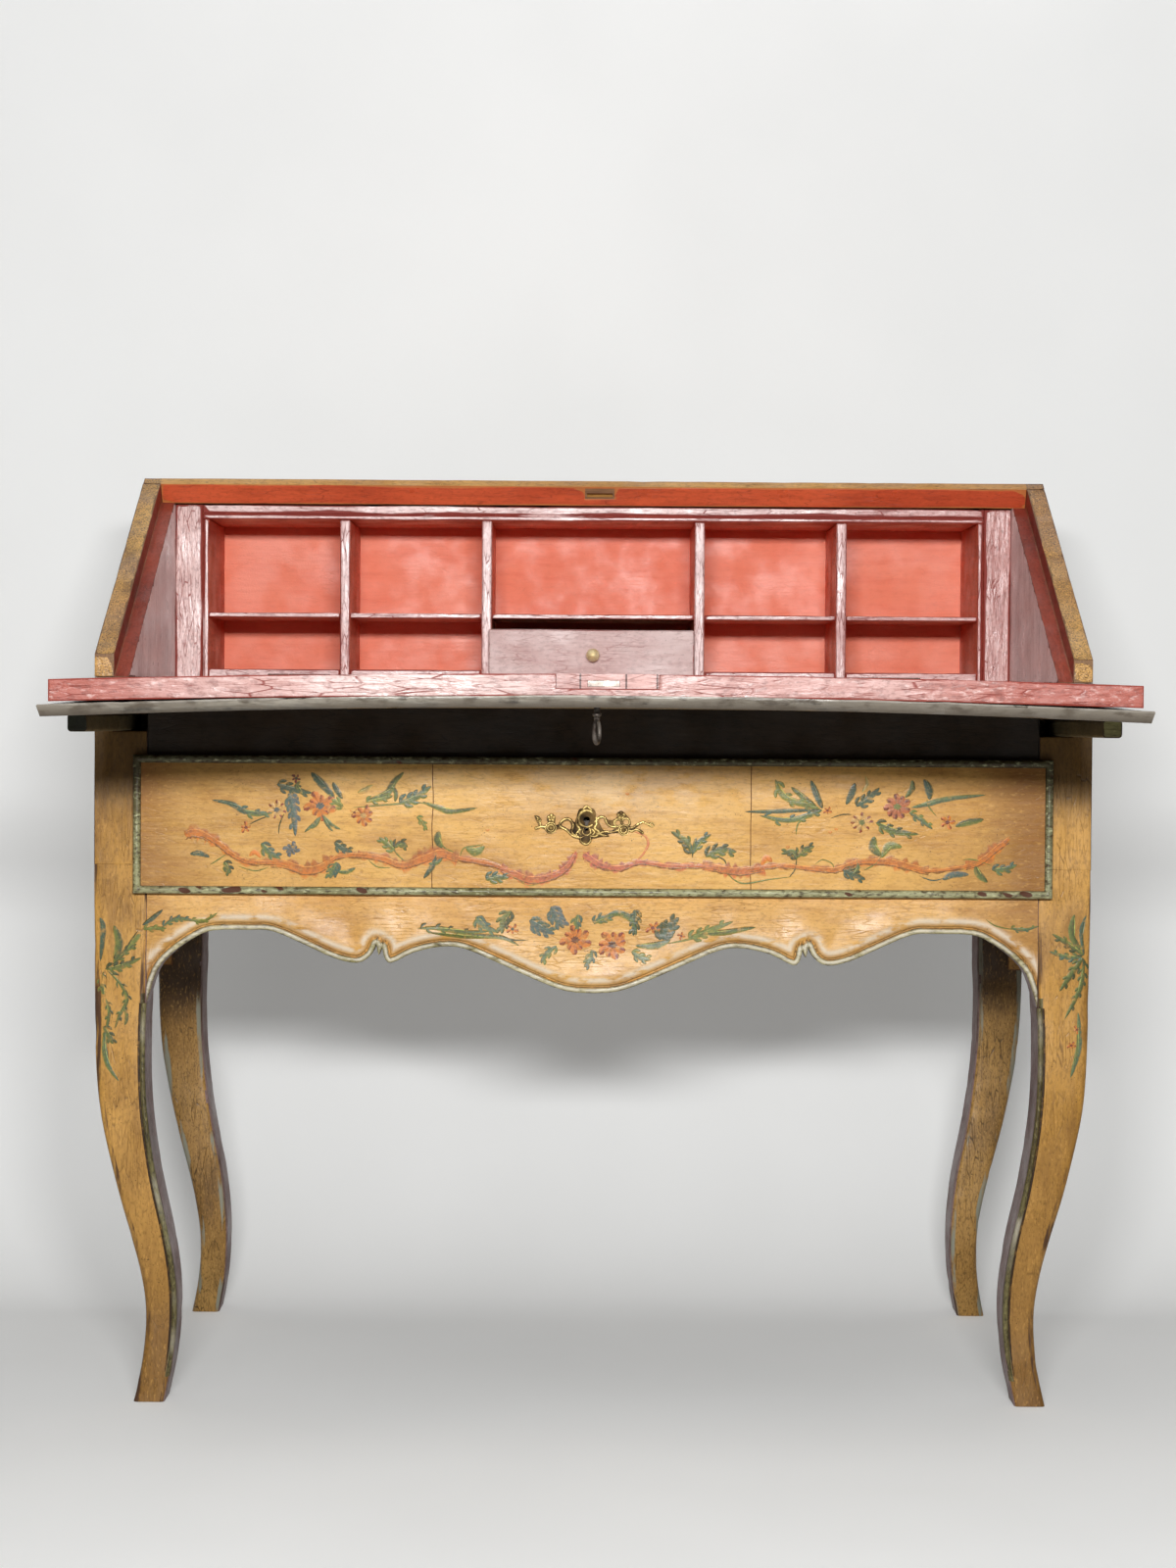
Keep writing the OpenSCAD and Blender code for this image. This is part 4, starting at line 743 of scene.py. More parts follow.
class DESK_OT_stage(Operator):
    """Sets up the pale floor, the lights and the camera"""

    bl_idname = "desk.stage"
    bl_label = "Stage"

    def execute(self, context):
        stage, scene = context.scene.desk_stage, context.scene
        scene.view_settings.view_transform = "Standard"
        floor = self.sweep(stage.sweep_start, stage.sweep_radius)
        scene.collection.objects.link(floor)
        scene.world = self.studio(stage.fill)
        area_light("front_box", *FRONT_BOX, stage.key_power)
        area_light("overhead", *OVERHEAD)
        area_light("back_wash", *BACK_WASH)
        camera = bpy.data.objects.new("camera", bpy.data.cameras.new("camera"))
        camera.data.lens, camera.data.sensor_width = stage.focal, 36
        camera.matrix_world = camera_matrix(
            Vector((CAMERA_ASIDE, CASE_FRONT - stage.distance, stage.eye)),
            *(math.radians(turn) for turn in CAMERA_TURNS))
        scene.collection.objects.link(camera)
        scene.camera = camera
        return {"FINISHED"}

    @staticmethod
    def sweep(start, radius):
        """A paper sweep, flat under the desk, then a quarter circle and a wall. It is pale to
        the camera and darker to indirect light, keeps the shadow, and shows from its front
        only."""
        curve = np.linspace(0, math.pi / 2, 16)
        front, top, half = -4.5, 5.0, 7.0
        line = np.array([(front, 0.0)] + [(start + radius * math.sin(a),
                                           radius * (1 - math.cos(a))) for a in curve]
                        + [(start + radius, top)])
        points = np.array([(x, y, z) for x in (-half, half) for y, z in line])
        mesh = bpy.data.meshes.new("floor")
        mesh.from_pydata(points.tolist(), [], grid_faces(2, len(line)).tolist())
        mesh.shade_smooth()
        f = Finish("pale_paper", 0.9)
        path, both = f.node("ShaderNodeLightPath"), f.node("ShaderNodeAddShader")
        seen = f.count("MAXIMUM", path.outputs["Is Camera Ray"], f.count(
            "MAXIMUM", path.outputs["Is Glossy Ray"], path.outputs["Is Transmission Ray"]))
        colour = f.mix(f.span(f.noise(2.2, 3), 0.3, 0.7), (0.785, 0.79, 0.785),
                       (0.83, 0.835, 0.83))
        to_other_rays = (0.36, 0.35, 0.34)
        f.done(f.mix(seen, to_other_rays, colour))
        glow = f.node("ShaderNodeEmission", {0: (0.94, 0.95, 0.93)})
        f.feed(glow.inputs[1], f.count("MULTIPLY", seen, 0.2))
        f.feed(both.inputs[0], f.shader.outputs[0])
        f.feed(both.inputs[1], glow.outputs[0])
        clear, shown = f.node("ShaderNodeBsdfTransparent"), f.node("ShaderNodeMixShader")
        f.feed(shown.inputs[0], f.node("ShaderNodeNewGeometry").outputs["Backfacing"])
        f.feed(shown.inputs[1], both.outputs[0])
        f.feed(shown.inputs[2], clear.outputs[0])
        f.feed(f.output.inputs[0], shown.outputs[0])
        mesh.materials.append(f.material)
        return bpy.data.objects.new("floor", mesh)

    @staticmethod
    def studio(fill):
        """A world that lights a little from all round and shows pale."""
        world = bpy.data.worlds.new("studio")
        world.use_nodes = True
        nodes, links = world.node_tree.nodes, world.node_tree.links
        nodes["Background"].inputs[0].default_value = (1, 1, 1, 1)
        nodes["Background"].inputs[1].default_value = fill
        pale = nodes.new("ShaderNodeBackground")
        pale.inputs[0].default_value, pale.inputs[1].default_value = (0.8, 0.8, 0.8, 1), 1.0
        path, chosen = nodes.new("ShaderNodeLightPath"), nodes.new("ShaderNodeMixShader")
        seen = nodes.new("ShaderNodeMath")
        seen.operation = "MAXIMUM"
        links.new(path.outputs["Is Camera Ray"], seen.inputs[0])
        links.new(path.outputs["Is Transmission Ray"], seen.inputs[1])
        links.new(seen.outputs[0], chosen.inputs[0])
        links.new(nodes["Background"].outputs[0], chosen.inputs[1])
        links.new(pale.outputs[0], chosen.inputs[2])
        links.new(chosen.outputs[0], nodes["World Output"].inputs[0])
        return world


def sections(node, heights):
    """The lowest and highest x and y of a node's mesh at each height: every triangle edge
    that crosses the height gives a point there."""
    edges = frame["nodes"][node].data.edges
    ends = np.empty(len(edges) * 2, np.int64)
    edges.foreach_get("vertices", ends)
    a, b = node_points(node)[ends.reshape(-1, 2)].swapaxes(0, 1)
    rows = []
    for z in heights:
        crossing = (np.minimum(a[:, 2], b[:, 2]) <= z) & (np.maximum(a[:, 2], b[:, 2]) >= z)
        p, q = a[crossing], b[crossing]
        share = (z - p[:, 2]) / np.where(np.abs(q[:, 2] - p[:, 2]) < 1e-9, 1, q[:, 2] - p[:, 2])
        at = p + np.clip(share, 0, 1)[:, None] * (q - p)
        rows.append([at[:, 0].min(), at[:, 0].max(), at[:, 1].min(), at[:, 1].max()])
    return np.array(rows)


def eased(values, rounds):
    """Evens out the corners of a curve given as rows, with its ends held."""
    values = values.copy()
    for _ in range(rounds):
        values[1:-1] = 0.25 * values[:-2] + 0.5 * values[1:-1] + 0.25 * values[2:]
    return values


# Points of a leg's ring: steps round each corner, and steps along each side
TURNS, PER_SIDE = 4, 5

# Heights between which a front leg's bead runs, and up to which its curve is lofted finely
BEAD_FOOT, BEAD_TOP, CURVE_TOP = 28 * MM, 413 * MM, 450 * MM

# The lofted front line of each front leg, by side, -1 or 1
LEG_FRONTS = {}


class DESK_OT_legs(Operator):
    """Lofts the four cabriole legs, with worn round corners and a bead down the front ones"""

    bl_idname = "desk.legs"
    bl_label = "Cabriole legs"

    def execute(self, context):
        desk = context.scene.desk
        for seed, name in enumerate(("left_front", "right_front", "left_back", "right_back"), 11):
            self.leg(name + "_leg", seed, desk.leg_round)
        return {"FINISHED"}

    def leg(self, node, seed, corner):
        """The loft: a rounded rectangle at each height between the node's own outlines. Above
        the case floor it goes straight up, and the notch for the writing board and the
        loper's slot are left out of it by ending the loft below them."""
        front = "front" in node
        side = 1 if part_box(node)[0].x > 0 else -1
        top = CASE_FLOOR + 20 * MM
        heights = np.concatenate([np.linspace(0.4 * MM, CURVE_TOP, 90),
                                  np.linspace(CURVE_TOP + 5 * MM, top, 8)])
        span = sections(node, heights)
        behind_bead = (1.8 * MM if front else 0) * (heights < 390 * MM)
        span[:, 2] = np.minimum(span[:, 2] + behind_bead, span[:, 3] - 30 * MM)
        span = eased(span, 3)
        rounding = corner * np.interp(heights, [0, 0.1, 0.42, 0.52], [0.8, 1.0, 1.0, 0.25])
        ring = np.array([self.ring(*row, r, z) for row, r, z in zip(span, rounding, heights)])
        n, k = ring.shape[:2]
        points = ring.reshape(-1, 3)
        centre = np.repeat(ring.mean(1), k, axis=0)
        out = points - centre
        out[:, 2] = 0
        out /= np.linalg.norm(out, axis=1, keepdims=True)
        corner_share = np.tile([1] * (TURNS + 1) + [0] * (PER_SIDE - 1), 4 * n)
        sink = 0.5 * MM * (0.5 + 0.5 * ripple(points, seed, 0.09))
        sink += 0.9 * MM * corner_share * np.clip(ripple(points, seed + 5, 0.035) - 0.35, 0, 1)
        points = points - out * np.clip(sink, 0, None)[:, None]
        shape = Shape()
        faces = grid_faces(n, k, wrap=True).tolist()
        caps = [list(range(k)), list(range((n - 1) * k, n * k))[::-1]]
        shape.add(points, faces + caps, wear=0.8 * corner_share)
        if front:
            LEG_FRONTS[side] = heights, span[:, 2] + 0.2 * MM
            self.bead(shape, span, heights, side)
        self.post_top(shape, front, side, top, seed)
        materials = [MATERIALS["ochre_up" if front else "back_leg"], MATERIALS["under"],
                     MATERIALS["bead_up"]]

        def faces_in(centres, normals):
            """Plain paint on the inner faces, green on the bead, ochre elsewhere."""
            inner = (normals[:, 0] * side < -0.6) | ((normals[:, 1] > 0.6) & front)
            place = np.interp(centres[:, 2], heights, span[:, 2])
            edge = np.interp(centres[:, 2], heights, span[:, 0 if side > 0 else 1])
            bead = ((centres[:, 1] < place + 2.5 * MM) & (centres[:, 2] > BEAD_FOOT - 2 * MM)
                    & ((centres[:, 0] - edge) * side < 5.4 * MM)
                    & (centres[:, 2] < BEAD_TOP + 7 * MM))
            return np.where(bead & front, 2, inner.astype(int))

        build(shape, node + "_carved", "carcase", materials, [node], picks=faces_in)

    @staticmethod
    def bead(shape, span, heights, side):
        """The bead down the leg's inner front edge: a rope of up to 2.8 mm radius that runs
        out above the foot, with a thin dark rope beside it that paints a groove's shadow."""
        use = (heights > BEAD_FOOT) & (heights < BEAD_TOP)
        x = span[use, 0 if side > 0 else 1]
        path = np.stack([x + side * 2.6 * MM, span[use, 2] + 0.9 * MM, heights[use]], 1)
        t = np.linspace(0, 1, len(path))
        radius = 2.8 * MM * np.interp(t, [0, 0.08, 1], [0.4, 1, 1])
        sides = 12
        worn = np.repeat(0.45 * ripple(path, 3, 0.05) - 0.08, sides)
        shape.sweep(path, circle(sides), radius, radius, up=(0, 1, 0),
                    marks={"haze": np.clip(worn, 0, 1), "wear": np.clip(0.6 - worn, 0, 0.6)})
        # A thin dark rope beside the bead: painted shadow of a groove
        line = path + np.array([side * 3.7 * MM, -0.75 * MM, 0])
        width = 1.1 * MM * np.interp(t, [0, 0.1, 1], [0.3, 1, 1])
        shape.sweep(line, circle(6), width, 0.35 * MM, up=(0, 1, 0),
                    marks={"dirt": np.ones(6 * len(line))})

    @staticmethod
    def ring(x0, x1, y0, y1, r, z):
        """A rounded rectangle, corner by corner, with points along its sides as well."""
        r = min(r, 0.45 * (x1 - x0), 0.45 * (y1 - y0))
        found = []
        corners = [(x1 - r, y1 - r, 0), (x0 + r, y1 - r, 90), (x0 + r, y0 + r, 180),
                   (x1 - r, y0 + r, 270)]
        for i, (cx, cy, start) in enumerate(corners):
            angle = np.radians(start + np.linspace(0, 90, TURNS + 1))
            arc = np.stack([cx + r * np.cos(angle), cy + r * np.sin(angle)], 1)
            nx, ny, turn = corners[(i + 1) % 4]
            angle = math.radians(turn)
            first = np.array([nx + r * math.cos(angle), ny + r * math.sin(angle)])
            share = (np.arange(1, PER_SIDE) / PER_SIDE)[:, None]
            found += [arc, arc[-1] + (first - arc[-1]) * share]
        flat = np.vstack(found)
        return np.column_stack([flat, np.full(len(flat), z)])

    @staticmethod
    def post_top(shape, front, side, foot, seed):
        """The square top of the post, as blocks round the loper's slot: the loft ends inside
        the lowest of them, and each block laps over the next."""
        hand = "left" if side < 0 else "right"
        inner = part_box(hand + "_side_panel")[1 if side < 0 else 0].x
        ends = side * HALF_WIDTH, side * POST_INNER
        y0 = CASE_FRONT if front else CASE_BACK - POST_DEPTH
        y1 = CASE_FRONT + POST_DEPTH if front else CASE_BACK
        rail_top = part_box("frieze_rail")[1].z
        lap, room = 2 * MM, 0.3 * MM

        def block(x0, x1, z0, z1):
            """One block of the post, between two places of x and two heights."""
            x0, x1 = sorted((x0, x1))
            rounded_box(shape, (x0, y0, z0), (x1, y1, z1), 1.0 * MM, step=20 * MM,
                        uneven=0.15 * MM, chips=0.3 * MM, seed=seed)

        if front:
            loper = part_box(hand + "_loper")
            slot_low, slot_high = loper[0].z - room, loper[1].z + room
            slot_outer = loper[0 if side < 0 else 1].x + side * room
            block(*ends, foot - lap, slot_low)
            block(slot_outer, side * HALF_WIDTH, slot_low - lap, slot_high + lap)
            block(*ends, slot_high, rail_top)
        else:
            block(*ends, foot - lap, rail_top)
        block(inner, side * HALF_WIDTH, rail_top - lap, WRITING_Z)


def front_of_leg(side):
    """The front line of a leg's loft, as y over z, for paint that lies on it."""
    heights, fronts = LEG_FRONTS[side]
    return lambda x, z: np.interp(z, heights, fronts)


def apron_curve():
    """The apron's sawn edge from its CAD mesh, as z over x for the right half: its lowest
    points near the front plane."""
    grain = 0.2 * MM
    co = node_points("front_apron")
    co = co[(np.abs(co[:, 1] - CASE_FRONT) < 0.05 * MM) & (co[:, 0] >= -0.1 * MM)]
    keys = np.unique(np.round(co[:, 0] / grain))
    low = [co[np.abs(co[:, 0] / grain - key) < 0.75, 2].min() for key in keys]
    return keys * 0.2 * MM, np.array(low)


APRON_X, APRON_Z = apron_curve()


def apron_edge(x):
    """Height of the sawn edge at x."""
    return np.interp(np.abs(x), APRON_X, APRON_Z)


def edge_distance(x, z):
    """Distance in metres from points of the apron's face to its sawn edge: the smallest
    distance to the segments of the edge line."""
    a = np.stack([APRON_X[:-1], APRON_Z[:-1]], 1)
    way = np.stack([np.diff(APRON_X), np.diff(APRON_Z)], 1)
    found = []
    for part in np.array_split(np.stack([np.abs(x), z], 1), 40):
        share = ((part[:, None] - a) * way).sum(2) / ((way ** 2).sum(1) + 1e-15)
        nearest = a + np.clip(share, 0, 1)[..., None] * way
        found.append(np.linalg.norm(part[:, None] - nearest, axis=2).min(1))
    return np.concatenate(found)


BEAD, GROOVE, SWELL = 5.6 * MM, 7.2 * MM, 3.4 * MM


def apron_relief(x, z):
    """How far the apron's face stands out: a half-round bead on the sawn edge, a groove, and
    a swelling (u e^(1-u))^1.6 that is highest 8 mm past the groove."""
    d = edge_distance(x, z)
    bead = 0.3 * MM + 1.5 * MM * np.sqrt(np.clip(1 - (2 * d / BEAD - 1) ** 2, 0, 1))
    u = np.clip(d - GROOVE, 0, None) / (9 * MM)
    swell = SWELL * (u * np.exp(1 - u)) ** 1.6
    groove = -1.1 * MM * np.exp(-((d - 0.5 * (BEAD + GROOVE)) / (1.1 * MM)) ** 2)
    return np.where(d < BEAD, bead, swell + groove) * np.clip(d / (0.5 * MM), 0.25, 1)


class DESK_OT_apron(Operator):
    """Shapes the sawn front apron: bead, groove and swelling along its lower edge"""

    bl_idname = "desk.apron"
    bl_label = "Front apron"

    def execute(self, context):
        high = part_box("front_apron")[1]
        back = high.y - 0.2 * MM
        ear, cusp = 0.42, (0.203, 0.238)
        fine = np.concatenate([np.arange(0, ear, 3.2 * MM), np.arange(ear, high.x, 0.9 * MM),
                               [high.x], np.arange(*cusp, 0.8 * MM)])
        fine = np.unique(fine)
        x = np.concatenate([-fine[:0:-1], fine])
        near = np.array([0, .3, .7, 1.2, 1.9, 2.8, 3.7, 4.4, 5, 5.5, 6, 6.5, 7.2, 8, 9, 10.5, 12,
                         14, 16.5, 19, 22, 26, 30, 35]) * MM
        far = np.linspace(0, 1, 9)[1:]
        edge = apron_edge(x)[:, None]
        top = CASE_FLOOR - 0.2 * MM
        reach = np.minimum(near / (top - edge).min() * (top - edge), near + 0 * edge)
        z = edge + reach
        z = np.hstack([z, z[:, -1:] + (top - z[:, -1:]) * far])
        across = np.repeat(x[:, None], z.shape[1], 1)
        relief = apron_relief(across.ravel(), z.ravel()).reshape(z.shape)
        points = np.stack([across, CASE_FRONT - relief, z], -1)
        wave = 0.25 * MM * ripple(points.reshape(-1, 3), 5, 0.12).reshape(z.shape)
        points[..., 1] += np.clip(wave, 0, None)
        flat = np.ones(len(z))
        under = [np.stack([x, flat * (CASE_FRONT + depth * (back - CASE_FRONT)), edge[:, 0]], 1)
                 for depth in (1.0, 0.75, 0.5, 0.25)]
        top_back = np.stack([x, back * flat, top * flat], 1)
        grid = np.concatenate([np.stack(under, 1), points, top_back[:, None]], 1)
        rows, cols = grid.shape[:2]
        faces = grid_faces(rows, cols, wrap=True).tolist()
        faces += [list(range(cols)), list(range((rows - 1) * cols, rows * cols))[::-1]]
        pts = grid.reshape(-1, 3)
        d = edge_distance(pts[:, 0], pts[:, 2])
        front = pts[:, 1] < CASE_FRONT + 1 * MM
        wear = np.exp(-d / (2.0 * MM)) * 0.7 * front
        # Painted shade in the groove above the bead; painted highlights on the swelling and the
        # bead's crest
        dirt = np.exp(-((d - 0.5 * (BEAD + GROOVE)) / (1.3 * MM)) ** 2) * front
        haze = (0.7 * np.exp(-((d - 13 * MM) / (3 * MM)) ** 2)
                + 0.55 * np.exp(-((d - 3 * MM) / (1.5 * MM)) ** 2)) * front
        shape = Shape().add(pts, faces, wear=wear, dirt=dirt, haze=haze)
        build(shape, "apron_board", "carcase",
              [MATERIALS["apron"], MATERIALS["bead_low"], MATERIALS["under"]], ["front_apron"],
              picks=lambda c, normal: np.where(
                  c[:, 1] > CASE_FRONT + 2 * MM, 2,
                  (edge_distance(c[:, 0], c[:, 2]) < BEAD - 0.4 * MM).astype(int)), flat=60)
        return {"FINISHED"}


def back_faces(centres, normals):
    """The second material on the faces that look back."""
    return (normals[:, 1] > 0.5).astype(int)


class DESK_OT_case(Operator):
    """Dresses the sides, top, backs, rails and writing board of the case"""

    bl_idname = "desk.case"
    bl_label = "Case"

    def execute(self, context):
        m, desk = MATERIALS, context.scene.desk
        for side, seed in (("left", 21), ("right", 22)):
            aged_copy(side + "_side_board", side + "_side_panel", "carcase",
                      [m["ochre_deep"], m["wood_deep"]], seed=seed,
                      picks=lambda c, n: (n[:, 0] * np.sign(c[:, 0]) < -0.5).astype(int))
            aged_copy(side + "_slant_board", side + "_slant_side", "carcase",
                      [m["ochre_deep"], m["rebate"], m["inner_side"], m["rim"]], seed=seed + 10,
                      bevel=desk.edge_radius + 0.2 * MM, step=9 * MM,
                      uneven=desk.unevenness, picks=self.slant_faces)
        aged_copy("top_board_aged", "top_board", "carcase",
                  [m["top"], m["red"], m["wood"], m["rim"]], seed=41,
                  bevel=desk.edge_radius, uneven=desk.unevenness,
                  picks=self.top_faces)
        aged_copy("writing_board_aged", "writing_board", "carcase",
                  [m["pink"], m["wood"]], seed=42, bevel=1.0 * MM,
                  picks=lambda c, n: (n[:, 2] < -0.5).astype(int))
        low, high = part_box("upper_back")
        shape = rounded_box(Shape(), low, high, 1 * MM, seed=43, step=24 * MM)
        build(shape, "upper_back_board", "carcase", [m["salmon"], m["wood"]],
              ["upper_back"], picks=back_faces)
        for node, seed, step in (("lower_back", 44, 30 * MM), ("back_rail", 45, 24 * MM)):
            board(node, "carcase", "wood", seed=seed, step=step)
        aged_copy("frieze_rail_aged", "frieze_rail", "carcase",
                  [m["frieze"], m["wood"]], seed=46, bevel=1.0 * MM, picks=back_faces)
        for node, wood, seed in (("left_loper_channel", "wood_deep", 47),
                                 ("right_loper_channel", "wood_deep", 47),
                                 ("left_drawer_runner", "wood_deep", 47),
                                 ("right_drawer_runner", "wood_deep", 47),
                                 ("glue_blocks", "wood", 48)):
            aged_copy(node + "_aged", node, "carcase", [m[wood]], seed=seed,
                      bevel=0.8 * MM, step=40 * MM)
        return {"FINISHED"}

    @staticmethod
    def slant_faces(c, n):
        """Ochre outside, speckled on the rim, red on the rebate, mauve inside."""
        side = np.sign(c[:, 0])
        rim = HALF_WIDTH - RIM_WIDTH
        inner_wall = (n[:, 0] * side < -0.5) & (np.abs(c[:, 0]) > rim - 1.5 * MM)
        seat = (n[:, 1] < -0.2) & (np.abs(c[:, 0]) < rim - 0.5 * MM)
        inside = (n[:, 0] * side < -0.5) & ~inner_wall
        return np.select([inner_wall | seat, inside, n[:, 1] < -0.2], [1, 2, 3], 0)

    @staticmethod
    def top_faces(c, n):
        """Ochre above, red on the wall in front, bare wood below."""
        front = (n[:, 1] < -0.3) & (n[:, 2] < 0.2)
        inside = np.abs(c[:, 0]) < HALF_WIDTH - RIM_WIDTH - 1 * MM
        return np.select([front & inside, n[:, 2] < -0.6, ~inside], [1, 2, 3], 0)


class DESK_OT_fall(Operator):
    """Dresses the two warped boards of the fall front"""

    bl_idname = "desk.fall"
    bl_label = "Fall front"

    def execute(self, context):
        m = MATERIALS
        aged_copy("fall_inner_aged", "fall_inner_board", "fall_front",
                  [m["pink"]], seed=51, bevel=1.2 * MM, uneven=0.3 * MM, chips=0.9 * MM,
                  axes="xy", border=(0, -1, 0, 3 * MM))
        low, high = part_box("fall_outer_board")

        def lit_edge(points):
            """Painted highlight atop the front edge, along its warp, and painted shade below."""
            down = high.z - OUTER_WARP * (points[:, 0] / high.x) ** 2 - points[:, 2]
            near = points[:, 1] < low.y + 4 * MM
            return {"haze": 0.36 * near * np.clip(1.3 - down / (3 * MM), 0, 1),
                    "dirt": 0.8 * near * np.clip(down / (4 * MM) - 0.9, 0, 1)}

        aged_copy("fall_outer_aged", "fall_outer_board", "fall_front",
                  [m["fall_face"]], seed=52, bevel=2.6 * MM, step=12 * MM, uneven=0.3 * MM,
                  chips=0.9 * MM, marks=lit_edge, axes="xy", border=(0, -1, 0, 1 * MM))
        return {"FINISHED"}


def lathe(shape, centre, axis, profile, sides):
    """A turned form: each (distance along the axis, radius) of the profile becomes a ring,
    and a fan shuts each end."""
    profile = np.asarray(profile, float)
    axis = np.asarray(axis, float) / np.linalg.norm(axis)
    first = np.cross(axis, (0.3, 0.9, 0.2))
    first /= np.linalg.norm(first)
    second = np.cross(axis, first)
    round_it = circle(sides)
    spoke = round_it[:, :1] * first + round_it[:, 1:] * second
    middle = np.asarray(centre) + profile[:, :1] * axis
    ring = middle[:, None] + profile[:, None, 1:] * spoke
    points = np.vstack([ring.reshape(-1, 3), middle[[0, -1]]])
    return shape.add(points, rope_faces(len(profile), sides, flip=True))


def finish_node(node, finish):
    """Gives a CAD node that stays one of the finishes."""
    materials = frame["nodes"][node].data.materials
    materials.clear()
    materials.append(MATERIALS[finish])


class DESK_OT_lock_and_key(Operator):
    """Finishes the fall's lock and hinges and shapes the key with its ring bow"""

    bl_idname = "desk.lock_and_key"
    bl_label = "Lock, hinges and key"

    def execute(self, context):
        m = MATERIALS
        low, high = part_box("fall_key")
        joints = {j["name"]: j for j in frame["record"]["behaviour"]["joints"]}
        x, y = joints["fall_key_turn"]["pos_m"][:2]
        bow_radius, wire = 10.2 * MM, 1.8 * MM
        shape = Shape()
        bow_z = low.z + bow_radius + wire
        collar = bow_z + bow_radius
        collars = ((-1, 1.6), (0.4, 2.6), (1.6, 2.9), (2.6, 2.2), (4, 3.9), (5.6, 4.1),
                   (6.6, 2.9), (8, 2.7))
        lathe(shape, (x, y, 0), (0, 0, 1),
              [(collar + up * MM, radius * MM) for up, radius in collars]
              + [(high.z - 1.2 * MM, 2.7 * MM), (high.z - 0.3 * MM, 2.1 * MM)], 28)
        turn = np.linspace(0, 2 * np.pi, 61)
        lean = math.radians(14)
        path = np.stack([x + bow_radius * math.sin(lean) * np.sin(turn),
                         y + bow_radius * math.cos(lean) * np.sin(turn),
                         bow_z + bow_radius * np.cos(turn)], 1)
        thick = wire * (1 - 0.16 * np.cos(turn))
        shape.sweep(path, circle(14), thick, thick, up=(math.cos(lean), -math.sin(lean), 0))
        bit_low, bit_high = high.z - 11 * MM, high.z - 1.5 * MM
        rounded_box(shape, (x + 1 * MM, y - 0.9 * MM, bit_low), (x + 7 * MM, y + 0.9 * MM,
                    bit_high), 0.3 * MM, step=3 * MM, uneven=0, chips=0)
        build(shape, "ring_key", "fall_key", [m["iron"]], ["fall_key"])
        for finish, nodes in (("bolt", ["fall_bolt"]),
                              ("iron", ["drawer_lock", "drawer_bolt", "hinge_pins",
                                        "hinge_case_leaves", "hinge_fall_leaves"]),
                              ("lock_plate", ["fall_lock"]),
                              ("keeper_wood", ["lock_keeper"]),
                              ("wood", ["left_loper_peg", "right_loper_peg"])):
            for node in nodes:
                finish_node(node, finish)
        return {"FINISHED"}


class DESK_OT_lopers(Operator):
    """Dresses the two lopers that carry the open fall"""

    bl_idname = "desk.lopers"
    bl_label = "Lopers"

    def execute(self, context):
        m = MATERIALS
        for side, seed in (("left", 61), ("right", 62)):
            end = m["loper_end"] if side == "right" else m["loper"]
            aged_copy(side + "_loper_aged", side + "_loper", side + "_loper",
                      [m["loper_wood"], end], seed=seed, bevel=0.8 * MM,
                      picks=lambda c, n: (n[:, 1] < -0.5).astype(int), flat=50)
        return {"FINISHED"}


# The joints between the boards of the drawer front: their x and their seeds
FRONT_JOINTS = (-163 * MM, 1), (160 * MM, 2)


